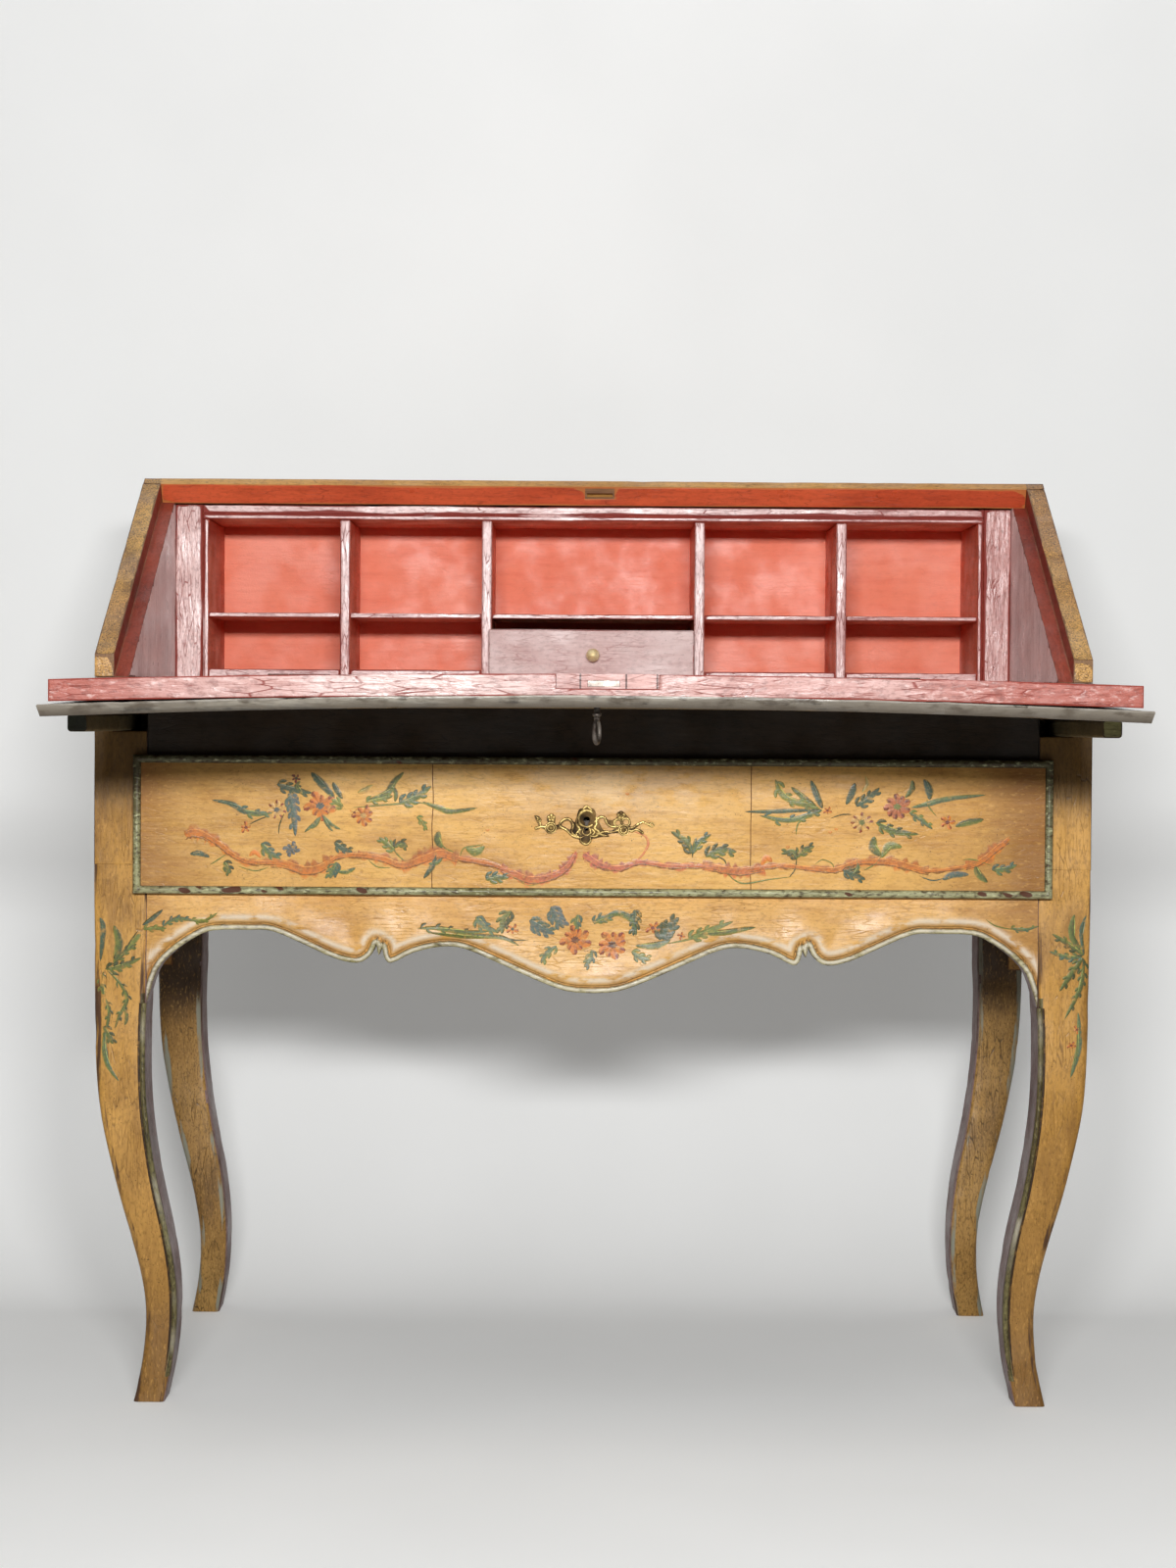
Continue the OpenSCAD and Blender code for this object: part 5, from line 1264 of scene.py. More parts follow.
class DESK_OT_long_drawer(Operator):
    """Builds the long drawer: its jointed front, the green half-round bead and the box"""

    bl_idname = "desk.long_drawer"
    bl_label = "Long drawer"

    def execute(self, context):
        m, low, high = MATERIALS, *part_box("drawer_front")
        # A pale mark round the escutcheon on the drawer front: painted glints of light on its
        # varnish
        aged_copy("drawer_front_aged", "drawer_front", "long_drawer",
                  [m["ochre"], m["wood"]], seed=71, bevel=0.8 * MM, step=14 * MM,
                  picks=lambda c, n: ((n[:, 1] > 0.5) | (c[:, 1] > CASE_FRONT)).astype(int),
                  marks=lambda p: {"haze": 0.2 * np.exp(
                      -((p[:, 0] - 0.02) / 0.13) ** 2 - ((p[:, 2] - 0.632) / 0.028) ** 2)})
        self.joints(low, high)
        self.bead(low, high)
        drawer_boards("drawer_", "long_drawer", seed=72, step=30 * MM)
        return {"FINISHED"}

    @staticmethod
    def joints(low, high):
        """The open joints between the boards of the front: dark threads that lie in it."""
        shape = Shape()
        for x, seed in FRONT_JOINTS:
            z = np.linspace(low.z + 8 * MM, high.z - 8 * MM, 40)
            wander = 0.5 * MM * ripple(np.stack([z, z * 0, z * 0], 1), seed, 0.05)
            path = np.stack([x + wander, np.full_like(z, low.y + 0.05 * MM), z], 1)
            shape.sweep(path, circle(6), 0.45 * MM, 0.2 * MM, up=(0, 1, 0))
        build(shape, "drawer_front_joints", "long_drawer",
              [MATERIALS["crack"]])

    @staticmethod
    def bead(low, high):
        """A half-round rod round the front, mitred at the corners: its section leaves the
        front by radius times cosine and spreads by radius times sine."""
        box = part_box("drawer_bead")
        r = box[1].y - box[0].y
        y = box[1].y - 0.15 * MM
        x0, x1, z0, z1 = low.x + r, high.x - r, low.z + r, high.z - r
        long_steps, short_steps, round_steps, back_steps = 260, 44, 13, 4
        corners = [(x0, z0), (x1, z0), (x1, z1), (x0, z1)]
        line = np.vstack([np.linspace(start, end, steps, endpoint=False) for start, end, steps
                          in zip(corners, corners[1:] + corners[:1],
                                 (long_steps, short_steps, long_steps, short_steps))])
        middle = np.array([(x0 + x1) / 2, (z0 + z1) / 2])
        half = np.array([(x1 - x0) / 2, (z1 - z0) / 2])
        corner = (np.abs(line - middle) > half - 1e-6)
        sign = np.sign(line - middle) * corner
        angle = np.linspace(-np.pi / 2, np.pi / 2, round_steps)
        round_part = r * np.sin(angle)
        spread = np.concatenate([round_part, round_part[::-4]])
        depth = np.concatenate([y - r * np.cos(angle), np.full(back_steps, y + 0.1 * MM)])
        n, k = len(line), len(spread)
        ring = np.stack([line[:, None, 0] + sign[:, None, 0] * spread,
                         np.broadcast_to(depth, (n, k)),
                         line[:, None, 1] + sign[:, None, 1] * spread], -1)
        points = ring.reshape(-1, 3)
        chips = np.clip(ripple(points, 7, 0.02) - 0.45, 0, 1) * 1.6 * MM
        crest = np.tile(np.concatenate([np.cos(angle), np.zeros(back_steps)]), n)
        points[:, 1] += chips * crest + 0.25 * MM * crest * (1 + ripple(points, 8, 0.1)) / 2
        here, last = np.arange(k), (n - 1) * k
        after = np.roll(here, -1)
        closing = np.stack([last + here, here, after, last + after], 1)
        faces = np.vstack([grid_faces(n, k, wrap=True), closing]).tolist()
        # The rod's flanks, where it meets the front, get a mark of painted shade; wear lies on
        # its crest
        shape = Shape().add(points, faces,
                            wear=0.42 * crest + 0.6 * chips / (1 * MM),
                            dirt=np.clip(1.1 - 1.8 * crest, 0, 1))
        build(shape, "drawer_bead_rod", "long_drawer", [MATERIALS["bead"]],
              ["drawer_bead"], flat=70)


class DESK_OT_gallery(Operator):
    """Builds the gallery of pigeonholes: frame, dividers and shelves"""

    bl_idname = "desk.gallery"
    bl_label = "Gallery"

    def execute(self, context):
        m = MATERIALS
        for seed, place in enumerate(("outer_left", "inner_left", "inner_right",
                                      "outer_right"), 84):
            node = "divider_" + place
            shape = rounded_box(Shape(), *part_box(node), 2.4 * MM, step=9 * MM,
                                uneven=0.5 * MM, chips=1.2 * MM, seed=seed)
            build(shape, node + "_board", "carcase",
                  [m["mauve_up"], m["maroon"]], [node],
                  picks=lambda c, n: (n[:, 1] > -0.5).astype(int))
        for node, front, bevel, seed in (("gallery_floor", "mauve", 0.8, 88),
                                         ("gallery_shelves", "mauve", 0.6, 89),
                                         ("gallery_stiles", "stile", 1.6, 90),
                                         ("gallery_top", "mauve", 0.7, 81),
                                         ("gallery_left_end", "mauve_up", 0.7, 82),
                                         ("gallery_right_end", "mauve_up", 0.7, 83)):
            aged_copy(node + "_boards", node, "carcase", [m[front], m["maroon"]],
                      seed=seed, bevel=bevel * MM, step=9 * MM, axes="xz", uneven=0.4 * MM,
                      chips=0.8 * MM, picks=lambda c, n: (n[:, 1] > -0.3).astype(int), flat=50)
        return {"FINISHED"}


class DESK_OT_small_drawer(Operator):
    """Builds the small drawer between the pigeonholes, with its turned knob"""

    bl_idname = "desk.small_drawer"
    bl_label = "Small drawer"

    def execute(self, context):
        m, low, high = MATERIALS, *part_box("small_drawer_front")
        shape = rounded_box(Shape(), low, high, 2.6 * MM, step=10 * MM, uneven=0.5 * MM,
                            chips=1.0 * MM, seed=91)
        build(shape, "small_front_board", "small_drawer",
              [m["small_front"], m["wood"]], ["small_drawer_front"], picks=back_faces)
        drawer_boards("small_drawer_", "small_drawer", radius=0.8 * MM, seed=92, step=20 * MM)
        low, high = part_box("small_drawer_knob")
        centre = ((low.x + high.x) / 2, high.y, (low.z + high.z) / 2)
        reach, r = high.y - low.y, (high.x - low.x) / 2
        neck = [(0, 0.62 * r), (0.06 * reach, 0.64 * r), (0.1 * reach, 0.5 * r),
                (0.16 * reach, 0.4 * r), (0.28 * reach, 0.36 * r)]
        angle = np.radians(np.linspace(152, 4, 16))
        ball = [(reach - r + r * math.cos(a), r * math.sin(a)) for a in angle]
        shape = lathe(Shape(), centre, (0, -1, 0), neck + ball, 36)
        build(shape, "turned_knob", "small_drawer", [m["knob"]],
              ["small_drawer_knob"], flat=60)
        return {"FINISHED"}


# The painted strokes' points are places in the 1200 x 1600 photo, read off it, where a pixel
# is a millimetre at the desk's front. The column of the desk's middle, the row of the
# horizon, its height above the floor in millimetres, and the photo's lean:
PHOTO_MIDDLE, PHOTO_HORIZON, HORIZON_HEIGHT, PHOTO_LEAN = 606, 716, 717, 0.0064


def front_point(points):
    """Places in the photo as x and z of the desk's front, in metres."""
    p = np.asarray(points, float)
    u, v = p[:, 0] - PHOTO_MIDDLE, p[:, 1] - PHOTO_HORIZON
    return np.stack([u + PHOTO_LEAN * v, HORIZON_HEIGHT - v + PHOTO_LEAN * u], 1) * MM


PIGMENTS = {"green": (112, 126, 62), "deep": (56, 72, 42), "teal": (68, 100, 86),
            "olive": (122, 130, 62), "red": (132, 50, 38), "orange": (226, 130, 52),
            "coral": (214, 110, 84), "cream": (236, 184, 106), "slate": (92, 108, 108)}


class Brush:
    """Gathers painted strokes: each is a thin closed strip along a smooth curve, with a colour
    on either side of its middle and a mark cover that fades to its edges."""

    stand, grow = 0.16 * MM, 1.3

    def __init__(self, surface):
        self.shape, self.surface, self.count = Shape(), surface, 0

    def stroke(self, points, width, left, right=None, tips=(0.0, 0.0), cover=1.0, rough=0.12,
               steps=7):
        """Width in millimetres swells from one tip to the other as sin^0.7, over ragged
        edges; left and right are the colours of the two halves."""
        flat = smooth_path(front_point(points), steps)
        n = len(flat)
        t = np.linspace(0, 1, n)
        swell = np.sin(np.pi * t.clip(0, 1)) ** 0.7
        share = np.maximum(swell, np.interp(t, [0, 0.5, 1], [tips[0], 0, tips[1]]))
        seed = 100 + self.count
        self.count += 1
        columns = np.array([-1, -0.62, 0, 0.62, 1])
        tangent = np.gradient(flat, axis=0)
        tangent /= np.linalg.norm(tangent, axis=1, keepdims=True) + 1e-12
        normal = np.stack([-tangent[:, 1], tangent[:, 0]], 1)
        raw = np.stack([t * 6, t * 0 + seed, t * 0], 1)
        half = 0.5 * self.grow * width * MM * share
        sides = [half * (1 + rough * ripple(raw + i, seed + i, 0.9)) for i in (0, 3)]
        spread = np.where(columns < 0, sides[0][:, None], sides[1][:, None]) * columns
        place = flat[:, None] + normal[:, None] * spread[..., None]
        y = self.surface(place[..., 0].ravel(), place[..., 1].ravel()).reshape(n, 5)
        lift = np.array([-0.15, 0.75, 1, 0.75, -0.15]) * self.stand
        top = np.stack([place[..., 0], y - lift, place[..., 1]], -1)
        back = top[:, [4, 0]].copy()
        back[..., 1] = y[:, [4, 0]] + 0.35 * MM
        ring = np.concatenate([top, back], 1)
        points = np.vstack([ring.reshape(-1, 3), ring[0].mean(0), ring[-1].mean(0)])
        first, second = np.array(srgb(*left)), np.array(srgb(*(right or left)))
        blend = np.array([0, 0.15, 0.5, 0.85, 1, 1, 0])[:, None]
        colour = np.tile(first * (1 - blend) + second * blend, (n, 1))
        colour = np.vstack([colour, first, second])
        full = np.concatenate([np.tile([0.25, 1, 1, 1, 0.25, 0, 0], n), [0, 0]]) * cover
        self.shape.add(points, rope_faces(n, ring.shape[1]), cover=full,
                       pigment=np.hstack([colour, np.ones((len(colour), 1))]))

    def leaf(self, points, width, light, dark):
        """A leaf with a light and a dark half, a thin dark rib and a pale touch."""
        self.stroke(points, width, light, dark)
        self.stroke(points, 0.8, scaled(dark, 0.6), cover=0.9, rough=0.3)
        line = np.asarray(points, float)
        shift = np.array([0.16, -0.22]) * width
        self.stroke(line[:-1] * 0.8 + line[1:] * 0.2 + shift, 0.9,
                    [min(255, 1.45 * c + 20) for c in light], cover=0.7, rough=0.4)

    def frond(self, points, width, light, dark, teeth):
        """A leaf cut into teeth: short strokes that fan from its rib to alternate sides."""
        self.leaf(points, width * 0.7, light, dark)
        rib = smooth_path(np.asarray(points, float), 8)
        at = np.linspace(0.12, 0.8, teeth)
        for i, share in enumerate(at):
            k = int(share * (len(rib) - 2))
            way = rib[k + 1] - rib[k]
            way /= np.linalg.norm(way) + 1e-9
            across = np.array([-way[1], way[0]]) * (1 if i % 2 else -1)
            reach = width * (1.15 - 0.5 * share)
            end = rib[k] + way * reach * 0.9 + across * reach * 0.75
            bend = rib[k] + way * reach * 0.3 + across * reach * 0.5
            self.stroke([rib[k], bend, end], width * 0.42, light if i % 2 else dark, dark)

    def flower(self, points, radius, petals, inner, outer, eye, turn=0.2):
        """Petals round an eye: each is a light stroke with a dark tip."""
        x, y = points[0]
        for i in range(petals):
            a = turn + 2 * math.pi * i / petals + 0.12 * math.sin(5 * i + x)
            r = radius * (0.86 + 0.16 * math.sin(3.1 * i + y))
            way = np.array([math.cos(a), math.sin(a) * 0.92])
            start, end = np.array([x, y]) + way * 0.22 * r, np.array([x, y]) + way * r
            middle = (start + end) / 2 + 0.08 * r * np.array([-way[1], way[0]])
            self.stroke([start, middle, end], 0.42 * r, inner, scaled(inner, 0.8),
                        tips=(0.35, 0.3))
            self.stroke([start * 0.5 + end * 0.5, end], 0.34 * r, outer, cover=0.95,
                        tips=(0.15, 0.6), steps=5)
            self.stroke([start, start * 0.4 + end * 0.6], 0.7, outer, cover=0.8, steps=4)
        for i in range(5):
            a = 2 * math.pi * i / 5
            spot = np.array([x, y]) + 0.13 * radius * np.array([math.cos(a), math.sin(a)])
            self.stroke([spot - (0.14 * radius, 0), spot, spot + (0.14 * radius, 0)],
                        0.26 * radius, eye, scaled(eye, 0.7), tips=(0.6, 0.6), steps=3)

    def branch(self, points, width, first, second, from_share):
        """A long branch with ragged edges, whose colour changes on its way, and a darker
        lower edge with small knots."""
        rib = smooth_path(np.asarray(points, float), 3)
        pieces = max(2, len(rib) // 6)
        for i in range(pieces):
            k0 = int(i * (len(rib) - 1) / pieces)
            k1 = int((i + 1) * (len(rib) - 1) / pieces) + 1
            share = 1 / (1 + math.exp(-14 * (i / pieces - from_share)))
            c = [a + (b - a) * share for a, b in zip(first, second)]
            run = rib[max(0, k0 - 1):k1 + 1]
            w = width * (0.7 + 0.3 * math.sin(2.3 * i + 1))
            tips = (0.1 if i == 0 else 0.9, 0.25 if i == pieces - 1 else 0.9)
            self.stroke(run, w, c, scaled(c, 0.76), tips=tips, rough=0.5, steps=9, cover=0.95)
            low = run + np.array([0, 0.38 * w])
            self.stroke(low, 2.0, scaled(c, 0.55), cover=0.85, tips=(0.5, 0.5), rough=0.8,
                        steps=8)
            high = run - np.array([0, 0.26 * w])
            self.stroke(high, 1.5, [min(255, 1.12 * v + 16) for v in c], cover=0.6,
                        tips=(0.4, 0.4), rough=0.8, steps=8)

    def paint(self, table, name, body, material):
        """Paints a table and makes one piece of all its strokes. In a row, a comma makes a
        point, an equals sign a setting, a name a pigment and slashes a colour of its own."""
        rows = []
        for word in table.split():
            if word in ("leaf", "frond", "flower", "branch", "stroke"):
                rows.append((getattr(self, word), [], [], {}))
            elif "," in word:
                rows[-1][1].append([float(part) for part in word.split(",")])
            elif "=" in word:
                setting, value = word.split("=")
                rows[-1][3][setting] = float(value)
            elif "/" in word:
                rows[-1][2].append([int(part) for part in word.split("/")])
            else:
                rows[-1][2].append(PIGMENTS.get(word) or (
                    int(word) if word.isdigit() else float(word)))
        for kind, points, values, settings in rows:
            kind(points, *values, **settings)
        build(self.shape, name, body, [MATERIALS[material]], flat=80)


# The painted strokes, row by row: the kind, its sizes and colours, and its points as x,y
DRAWER_STROKES = """
leaf 5 teal deep 218,813 238,817 252,825 274,828
frond 7 green teal 4 246,823 262,827 280,826
stroke 1.2 deep 277,829 266,833 256,838
flower 7 5 orange red red 0.9 253,841
flower 12 7 cream red slate 284,823
frond 9 teal slate 8 296,806 301,822 303,850
stroke 1.3 deep 292,826 287,838 286,848
frond 8 teal deep 6 284,797 300,802 320,806
flower 6 5 red 96/48/40 deep 304,791
leaf 7 teal deep 319,785 330,797 343,811
leaf 5 teal deep 341,795 345,803 351,812
leaf 4 green deep 311,808 304,800 308,794
frond 7 olive green 4 352,820 344,815 338,812
flower 17 9 orange red slate 0.1 328,819
leaf 3 teal green 330,828 321,838 312,846
leaf 3 teal green 330,828 324,838 318,842
leaf 3 teal green 330,828 339.5,838 349,843
leaf 3 teal green 330,828 335.5,838 341,845
leaf 5 cream olive 366,806 374,803 382,798
leaf 6 green deep 375,814 396,806 403,795 413,785
leaf 4 green deep 400,798 405,806 404,815
stroke 1.6 green 360,821 384,819 408,817 430,816 446,820
frond 9 green teal 7 408,817 424,811 441,799
frond 6 olive green 5 374,815 390,812 402,809
leaf 5 green deep 432,815 448,821 462,825 488,821
flower 13 7 orange red cream 0.5 372,829
flower 6 4 cream orange red 0.5 363,826
frond 5 olive green 4 426,830 432,836 437,844
branch 12.5 orange coral 0.78 191,849 198,846 210,848 225,857 240,869 258,876 288,877 312,884
    330,881 345,871 366,869 390,872 411,879 432,873 450,867 468,872 504,879 522,887 543,894
    564,890 579,881 588,866
stroke 4 orange 256,870 262,866 268,872
leaf 5 teal deep 196,868 205,867 216,871
stroke 1.2 green 216,879 224,874 233,868
frond 7 green deep 4 230,876 234,881 237,888
frond 8 green teal 5 268,857 276,866 288,873
stroke 1.2 olive 244,880 262,885 276,881
flower 9 8 slate 96/108/120 slate 299,863
frond 7 teal deep 5 342,856 350,862 361,866
frond 8 green teal 6 345,876 341,884 338,893
leaf 4 green teal 345,886 355,886 364,882
stroke 1.2 olive 376,873 386,881 400,882
stroke 1.4 olive 416,877 406,868 402,862
frond 7 olive green 5 404,864 396,858 388,851
frond 7 green deep 4 403,862 410,857 417,861
stroke 1.4 olive 464,866 455,862 450,856
leaf 7 green deep 452,862 447,853 449,845
leaf 5 teal deep 446,868 442,880 433,893
leaf 4 green teal 438,878 446,877 452,872
stroke 1.4 olive 470,870 474,862 484,860 494,858
leaf 7 green olive 476,862 486,866 495,860
frond 8 olive teal 5 496,894 506,892 520,892
stroke 1 olive cover=0.7 512,884 526,892 540,900 556,896
branch 11 coral orange 0.3 595,868 603,873 615,880 634,882 652,876 680,880 716,880 741,884
    759,885 790,880 820,882 851,884 875,876 906,876 924,880 946,885 976,882 998,876 1013,864
    1028,853
stroke 5 orange 776,880 781,872 787,876
stroke 2.2 coral cover=0.7 646,845 658,850 661,858 656,868 648,876
stroke 1.6 cream cover=0.6 596,872 606,886 622,892 650,890
frond 8 green deep 6 706,868 700,856 684,845
frond 7 green teal 5 707,868 713,856 725,848
stroke 1.3 deep 706,872 706,866 704,860
frond 9 green deep 6 719,871 734,864 751,866
stroke 1.3 deep 741,880 738,874 730,870
stroke 1.4 green 740,885 748,894 760,898 784,894 808,891
frond 7 green deep 4 812,874 808,866 796,868
frond 7 green deep 5 812,872 820,864 830,860
stroke 1.3 deep 804,892 810,884 812,872
stroke 1.1 olive 830,879 838,874 848,878 850,886
frond 8 teal deep 6 858,884 868,888 882,894
leaf 4 green teal 868,890 874,882 873,874
stroke 1.6 green 880,885 892,878 898,870
leaf 8 green deep 898,870 890,862 891,850
leaf 7 green olive 898,872 906,860 919,861
stroke 1.2 teal 936,890 950,895 964,892
leaf 6 teal slate 960,894 972,889 987,889
leaf 6 green deep 993,880 997,889 1006,897
frond 7 green teal 5 1010,884 1022,884 1036,879
stroke 1.2 green 980,874 992,874 1010,880
leaf 4 teal deep 759,825 784,825 808,824 838,823
frond 7 green teal 6 774,829 802,834 826,828 838,823
frond 8 olive green 6 790,792 797,808 816,817 836,822
leaf 5 green deep 806,800 818,810 832,820
leaf 6 teal deep 826,793 832,808 838,822
stroke 1.5 green 811,849 815,835 836,824
flower 5 5 orange red red 843,824
stroke 1.3 deep 846,832 858,828 868,828
leaf 6 teal deep 862,818 868,806 871,796
frond 8 teal deep 6 872,820 884,812 896,801
leaf 4 cream olive 878,806 884,798 882,789
flower 16 9 196/110/70 110/50/44 olive 0.3 914,820
flower 13 8 cream red green 0.1 878,836
frond 8 green deep 6 892,836 910,845 936,848
leaf 5 teal green 928,821 946,817 966,812 1004,808
leaf 7 teal deep 941,792 946,802 947,813
leaf 5 green deep 929,793 929,802 922,811
frond 6 teal green 5 926,826 938,833 950,843
flower 9 5 orange red red 1.2 965,836
leaf 6 green deep 973,840 986,836 1002,833
stroke 1.3 green 944,812 946,820 954,830
stroke 2 orange cover=0.6 844,845 846,846 848,845
stroke 2 orange cover=0.6 850,842 852,843 854,842
stroke 2 orange cover=0.6 638,806 640,807 642,806
stroke 2 orange cover=0.6 801,860 803,861 805,860
stroke 2 orange cover=0.6 496,843 498,844 500,843
"""

APRON_STROKES = """
frond 6 green deep 8 426,944 448,944 474,948 500,947
leaf 4 green deep 436,948 470,952 510,953 530,962
frond 8 green teal 6 486,932 492,941 508,948
frond 9 olive deep 6 522,926 514,936 512,950
flower 7 5 orange red deep 523,945
stroke 1.4 deep 512,952 524,956 540,956
frond 10 slate teal 7 540,936 552,944 566,950
frond 10 teal slate 7 562,922 568,934 576,944
frond 7 olive teal 4 590,930 588,938 590,946
flower 17 9 orange red 120/60/40 0.2 587,956
flower 18 9 orange red 96/60/52 0.5 625,961
frond 7 green teal 5 606,940 614,934 626,936
leaf 6 green teal 612,935 630,929 645,936 649,952
frond 8 teal deep 6 647,925 648,938 646,952
flower 8 5 orange red red 666,944
frond 11 teal deep 7 672,956 680,946 693,933
leaf 6 green teal 648,962 668,962 684,956
flower 5 4 orange red red 695,952
frond 8 olive green 7 702,955 720,948 748,937
leaf 5 green deep 716,950 740,948 771,943
stroke 1.6 green 680,960 700,956 716,952
frond 7 teal green 5 568,962 558,970 552,980
frond 7 green teal 5 604,966 602,976 596,984
frond 7 teal green 5 644,968 654,974 664,976
frond 5 green olive 4 147,945 158,944 171,944
leaf 4 teal deep 146,941 156,934 167,925
frond 5 green teal 7 166,943 176,936 186,934 203,937
frond 4 green olive 5 196,935 208,937 223,928
stroke 1.2 green 1005,935 1016,942 1036,946
frond 4 teal green 5 1030,944 1044,946 1060,942
"""

KNEE_STROKES = {-1: """
leaf 5 teal deep 103,933 106,946 103,978
leaf 7 green deep 117,941 122,960 117,980
stroke 1.6 deep 107,986 124,974 134,957 142,946
frond 6 green deep 6 118,978 128,968 140,960
frond 7 olive deep 7 108,986 124,983 145,974
leaf 5 green olive 130,966 138,956 144,950
frond 6 green deep 10 106,988 105,1006 112,1028 108,1050
leaf 5 green teal 108,1048 107,1066 111,1084 122,1100
frond 6 green deep 9 110,987 124,1002 130,1017 122,1034 118,1046
leaf 4 green deep 127,1026 130,1034 128,1043
frond 7 green deep 5 106,1044 112,1054 116,1062
""", 1: """
leaf 4 teal deep 1108,931 1103,948 1106,972
leaf 6 green deep 1096,930 1093,950 1104,972
frond 7 olive deep 7 1106,972 1092,962 1073,950
frond 6 green teal 6 1104,974 1088,974 1070,968
frond 7 green deep 7 1105,974 1094,990 1081,1009
frond 6 green deep 9 1106,978 1102,1006 1086,1038
flower 5 5 orange red red 1099,1048
flower 5 5 orange red red 1093,1064
leaf 5 green teal 1100,1030 1101,1064 1092,1097
"""}


class DESK_OT_painting(Operator):
    """Paints the sprays and the branch on the drawer, the apron and the knees"""

    bl_idname = "desk.painting"
    bl_label = "Painted sprays"

    def execute(self, context):
        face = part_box("drawer_front")[0].y
        Brush(lambda x, z: np.full_like(x, face)).paint(
            DRAWER_STROKES, "drawer_painting", "long_drawer", "painting")
        Brush(lambda x, z: CASE_FRONT - apron_relief(x, z)).paint(
            APRON_STROKES, "apron_painting", "carcase", "painting")
        for side, name in ((-1, "left"), (1, "right")):
            Brush(front_of_leg(side)).paint(
                KNEE_STROKES[side], name + "_knee_painting", "carcase",
                "painting_up")
        return {"FINISHED"}


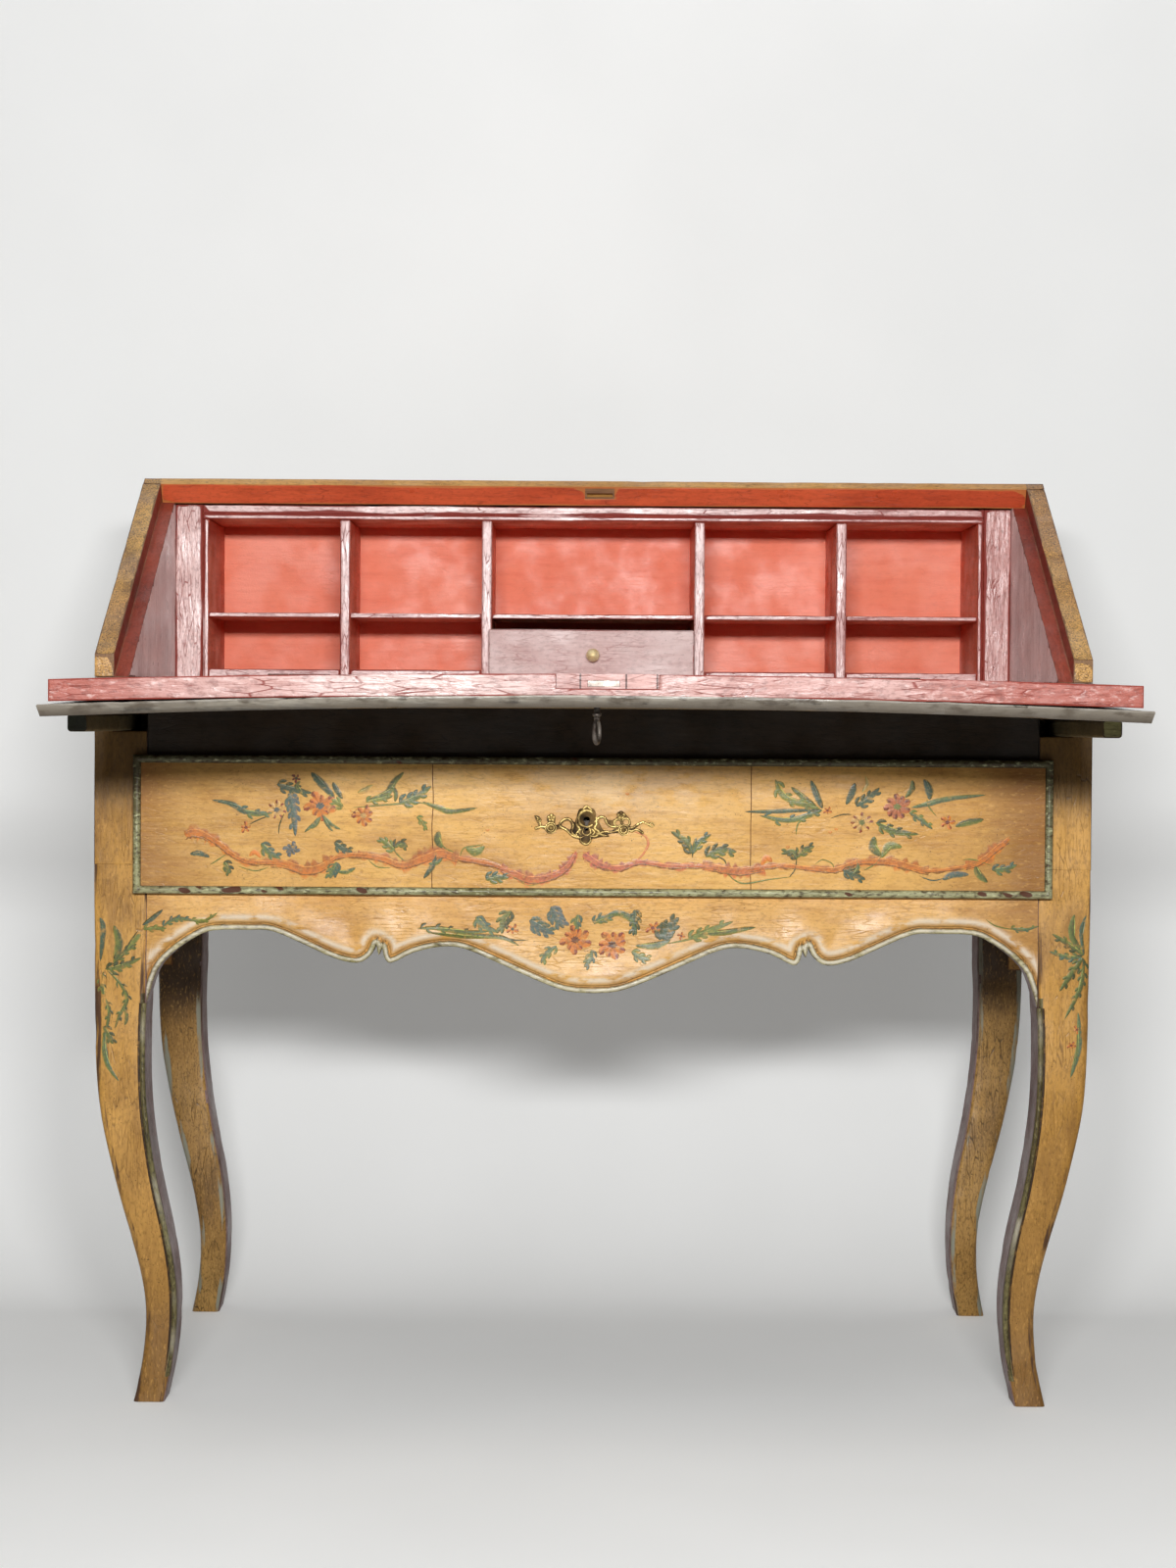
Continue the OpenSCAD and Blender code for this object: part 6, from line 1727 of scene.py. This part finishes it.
class DESK_OT_escutcheon(Operator):
    """Shapes the cast openwork escutcheon: raised scrolls and rosettes on its pierced plate"""

    bl_idname = "desk.escutcheon"
    bl_label = "Escutcheon"
    middle, drawn_width = (-6.6 * MM, 599.5 * MM), 122 * MM

    def execute(self, context):
        low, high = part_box("drawer_escutcheon")
        scale = (high.x - low.x) / self.drawn_width
        shape = Shape()

        def place(points):
            """Places on the plate of points that are drawn from its keyhole, in mm."""
            p = np.asarray(points, float) * scale * MM
            return np.stack([self.middle[0] + p[:, 0], np.full(len(p), low.y),
                             self.middle[1] + p[:, 1]], 1)

        def scroll(points, width, lift=0.9):
            """A cast scroll: a rope that thins to its ends, on a smooth curve."""
            path = smooth_path(place(points), 8)
            t = np.linspace(0, 1, len(path))
            share = np.interp(t, [0, 0.25, 0.6, 1], [0.55, 1, 0.9, 0.55])
            w = 0.62 * width * MM * share * (1 + 0.10 * np.sin(t * 60))
            path[:, 1] -= 0.1 * lift * MM
            shape.sweep(path, circle(10), w, 0.7 * w, up=(0, 1, 0))

        def hoop(x, z, r, width, lift=0.9):
            """A ring of scroll round a place."""
            scroll([(x + r * math.cos(a), z + r * math.sin(a)) for a in turn], width, lift)

        def knob(x, z, r, lift):
            """A round boss, a dome of the given height."""
            centre = place([(x, z)])[0]
            angle = np.linspace(0.02, np.pi / 2, 6)
            profile = [(-0.4 * MM, r * MM)] + [
                (lift * MM * math.sin(a), r * MM * math.cos(a)) for a in angle]
            lathe(shape, centre, (0, -1, 0), profile, 16)

        def rosette(x, z, r):
            """Five bosses round a higher one."""
            for i in range(5):
                a = math.radians(90 + 72 * i)
                knob(x + 0.6 * r * math.cos(a), z + 0.6 * r * math.sin(a), 0.42 * r, 1.1)
            knob(x, z, 0.34 * r, 1.7)

        turn = np.linspace(0, 2 * np.pi, 25)
        scroll([(8.3 * math.cos(a), 1.5 + 8.3 * math.sin(a)) for a in turn[3:22]], 2.6, 1.3)
        scroll([(-9.5, 3), (-10.5, -4), (-7, -9), (-10.5, -14), (-7, -18), (-2, -16)], 2.4, 1.3)
        scroll([(9.5, 3), (10, -4), (8, -8), (12.5, -12), (9, -16.5), (3, -16)], 2.4, 1.3)
        scroll([(-6, -17), (-5.5, -22), (0, -24.6), (4, -21), (3.5, -17)], 2.2, 1.2)
        scroll([(-3, -8), (-4, -13), (0, -15.5), (4, -13), (3, -8)], 2.0, 1.3)
        scroll([(-4, 10), (-2, 13), (0, 14), (2, 13), (5, 10)], 2.2, 1.2)
        for s in (-1, 1):
            scroll([(s * 5, -9), (s * 8, -12), (s * 6, -15)], 1.8, 1.4)
        scroll([(-10, -17), (-15, -12), (-13.6, -5), (-18, 1), (-24, 0), (-27.6, -4.5),
                (-25.6, -7.6)], 2.6, 1.2)
        scroll([(-27, -7), (-21, -10), (-15, -15.5), (-9, -18)], 2.0)
        hoop(-36.4, -8.2, 5.3, 1.4)
        hoop(-36.4, -8.2, 3.3, 1.4)
        knob(-36.4, -8.2, 1.6, 1.6)
        rosette(-36, 1.8, 4.6)
        scroll([(-40, -7.5), (-46, -7), (-51.8, -8.6)], 2.2)
        scroll([(-46, -7), (-47.5, -3), (-48, 0), (-52, 4)], 1.9)
        rosette(-48.4, -0.3, 2.8)
        knob(-51.4, -8.4, 1.7, 1.4)
        scroll([(8, -2), (13, 3), (18, 2.6), (20, -2), (24, -6), (30, -6.8)], 2.4, 1.2)
        scroll([(12, -14), (18, -11.8), (26, -12), (33, -9.5)], 2.2)
        scroll([(10, -13), (16, -15), (22.5, -16.2)], 2.2)
        hoop(31.5, -2.6, 3.6, 1.9, 1.1)
        hoop(39.8, -1.8, 3.8, 1.9, 1.1)
        rosette(35, 4.8, 4.8)
        hoop(37.7, -10, 5.0, 1.4)
        hoop(37.7, -10, 3.0, 1.4)
        knob(37.7, -10, 1.5, 1.6)
        scroll([(42, -8), (47, -7.2), (52, -4), (57, -1.7), (61, -3.4), (65, -5.2)], 2.0)
        hoop(66.2, -4.3, 1.9, 1.3)
        scroll([(43, -10), (46, -11), (50.7, -9.2), (56.3, -12.4)], 1.8)
        knob(56.6, -12.4, 1.6, 1.4)
        build(shape, "escutcheon_relief", "long_drawer", [MATERIALS["gilt"]],
              flat=60)
        finish_node("drawer_escutcheon", "gilt_ground")
        return {"FINISHED"}


class DESK_PT_panel(Panel):
    """Lists the settings and the groups of pieces in the sidebar"""

    bl_idname = "DESK_PT_panel"
    bl_label = "Slant-front desk"
    bl_space_type = "VIEW_3D"
    bl_region_type = "UI"
    bl_category = "Desk"

    def draw(self, context):
        for group in (context.scene.desk, context.scene.desk_stage):
            box = self.layout.box()
            for name in group.__annotations__:
                box.prop(group, name)
        for item in CLASSES:
            if issubclass(item, Operator):
                self.layout.operator(item.bl_idname)


CLASSES = [DeskSettings, StageSettings, DESK_OT_stage, DESK_OT_legs, DESK_OT_apron, DESK_OT_case,
           DESK_OT_fall, DESK_OT_lock_and_key, DESK_OT_lopers, DESK_OT_long_drawer,
           DESK_OT_escutcheon, DESK_OT_gallery, DESK_OT_small_drawer, DESK_OT_painting,
           DESK_PT_panel]


def register():
    """Adds the classes and their settings to Blender."""
    for item in CLASSES:
        bpy.utils.register_class(item)
    bpy.types.Scene.desk = PointerProperty(type=DeskSettings)
    bpy.types.Scene.desk_stage = PointerProperty(type=StageSettings)


def unregister():
    """Takes the classes and their settings out again."""
    del bpy.types.Scene.desk_stage
    del bpy.types.Scene.desk
    for item in reversed(CLASSES):
        bpy.utils.unregister_class(item)


def main():
    """Registers the add-on, makes the finishes and builds every group of pieces."""
    register()
    make_materials(bpy.context.scene.desk)
    for item in CLASSES:
        if issubclass(item, Operator):
            group, name = item.bl_idname.split(".")
            getattr(getattr(bpy.ops, group), name)()


if __name__ == "__main__":
    main()
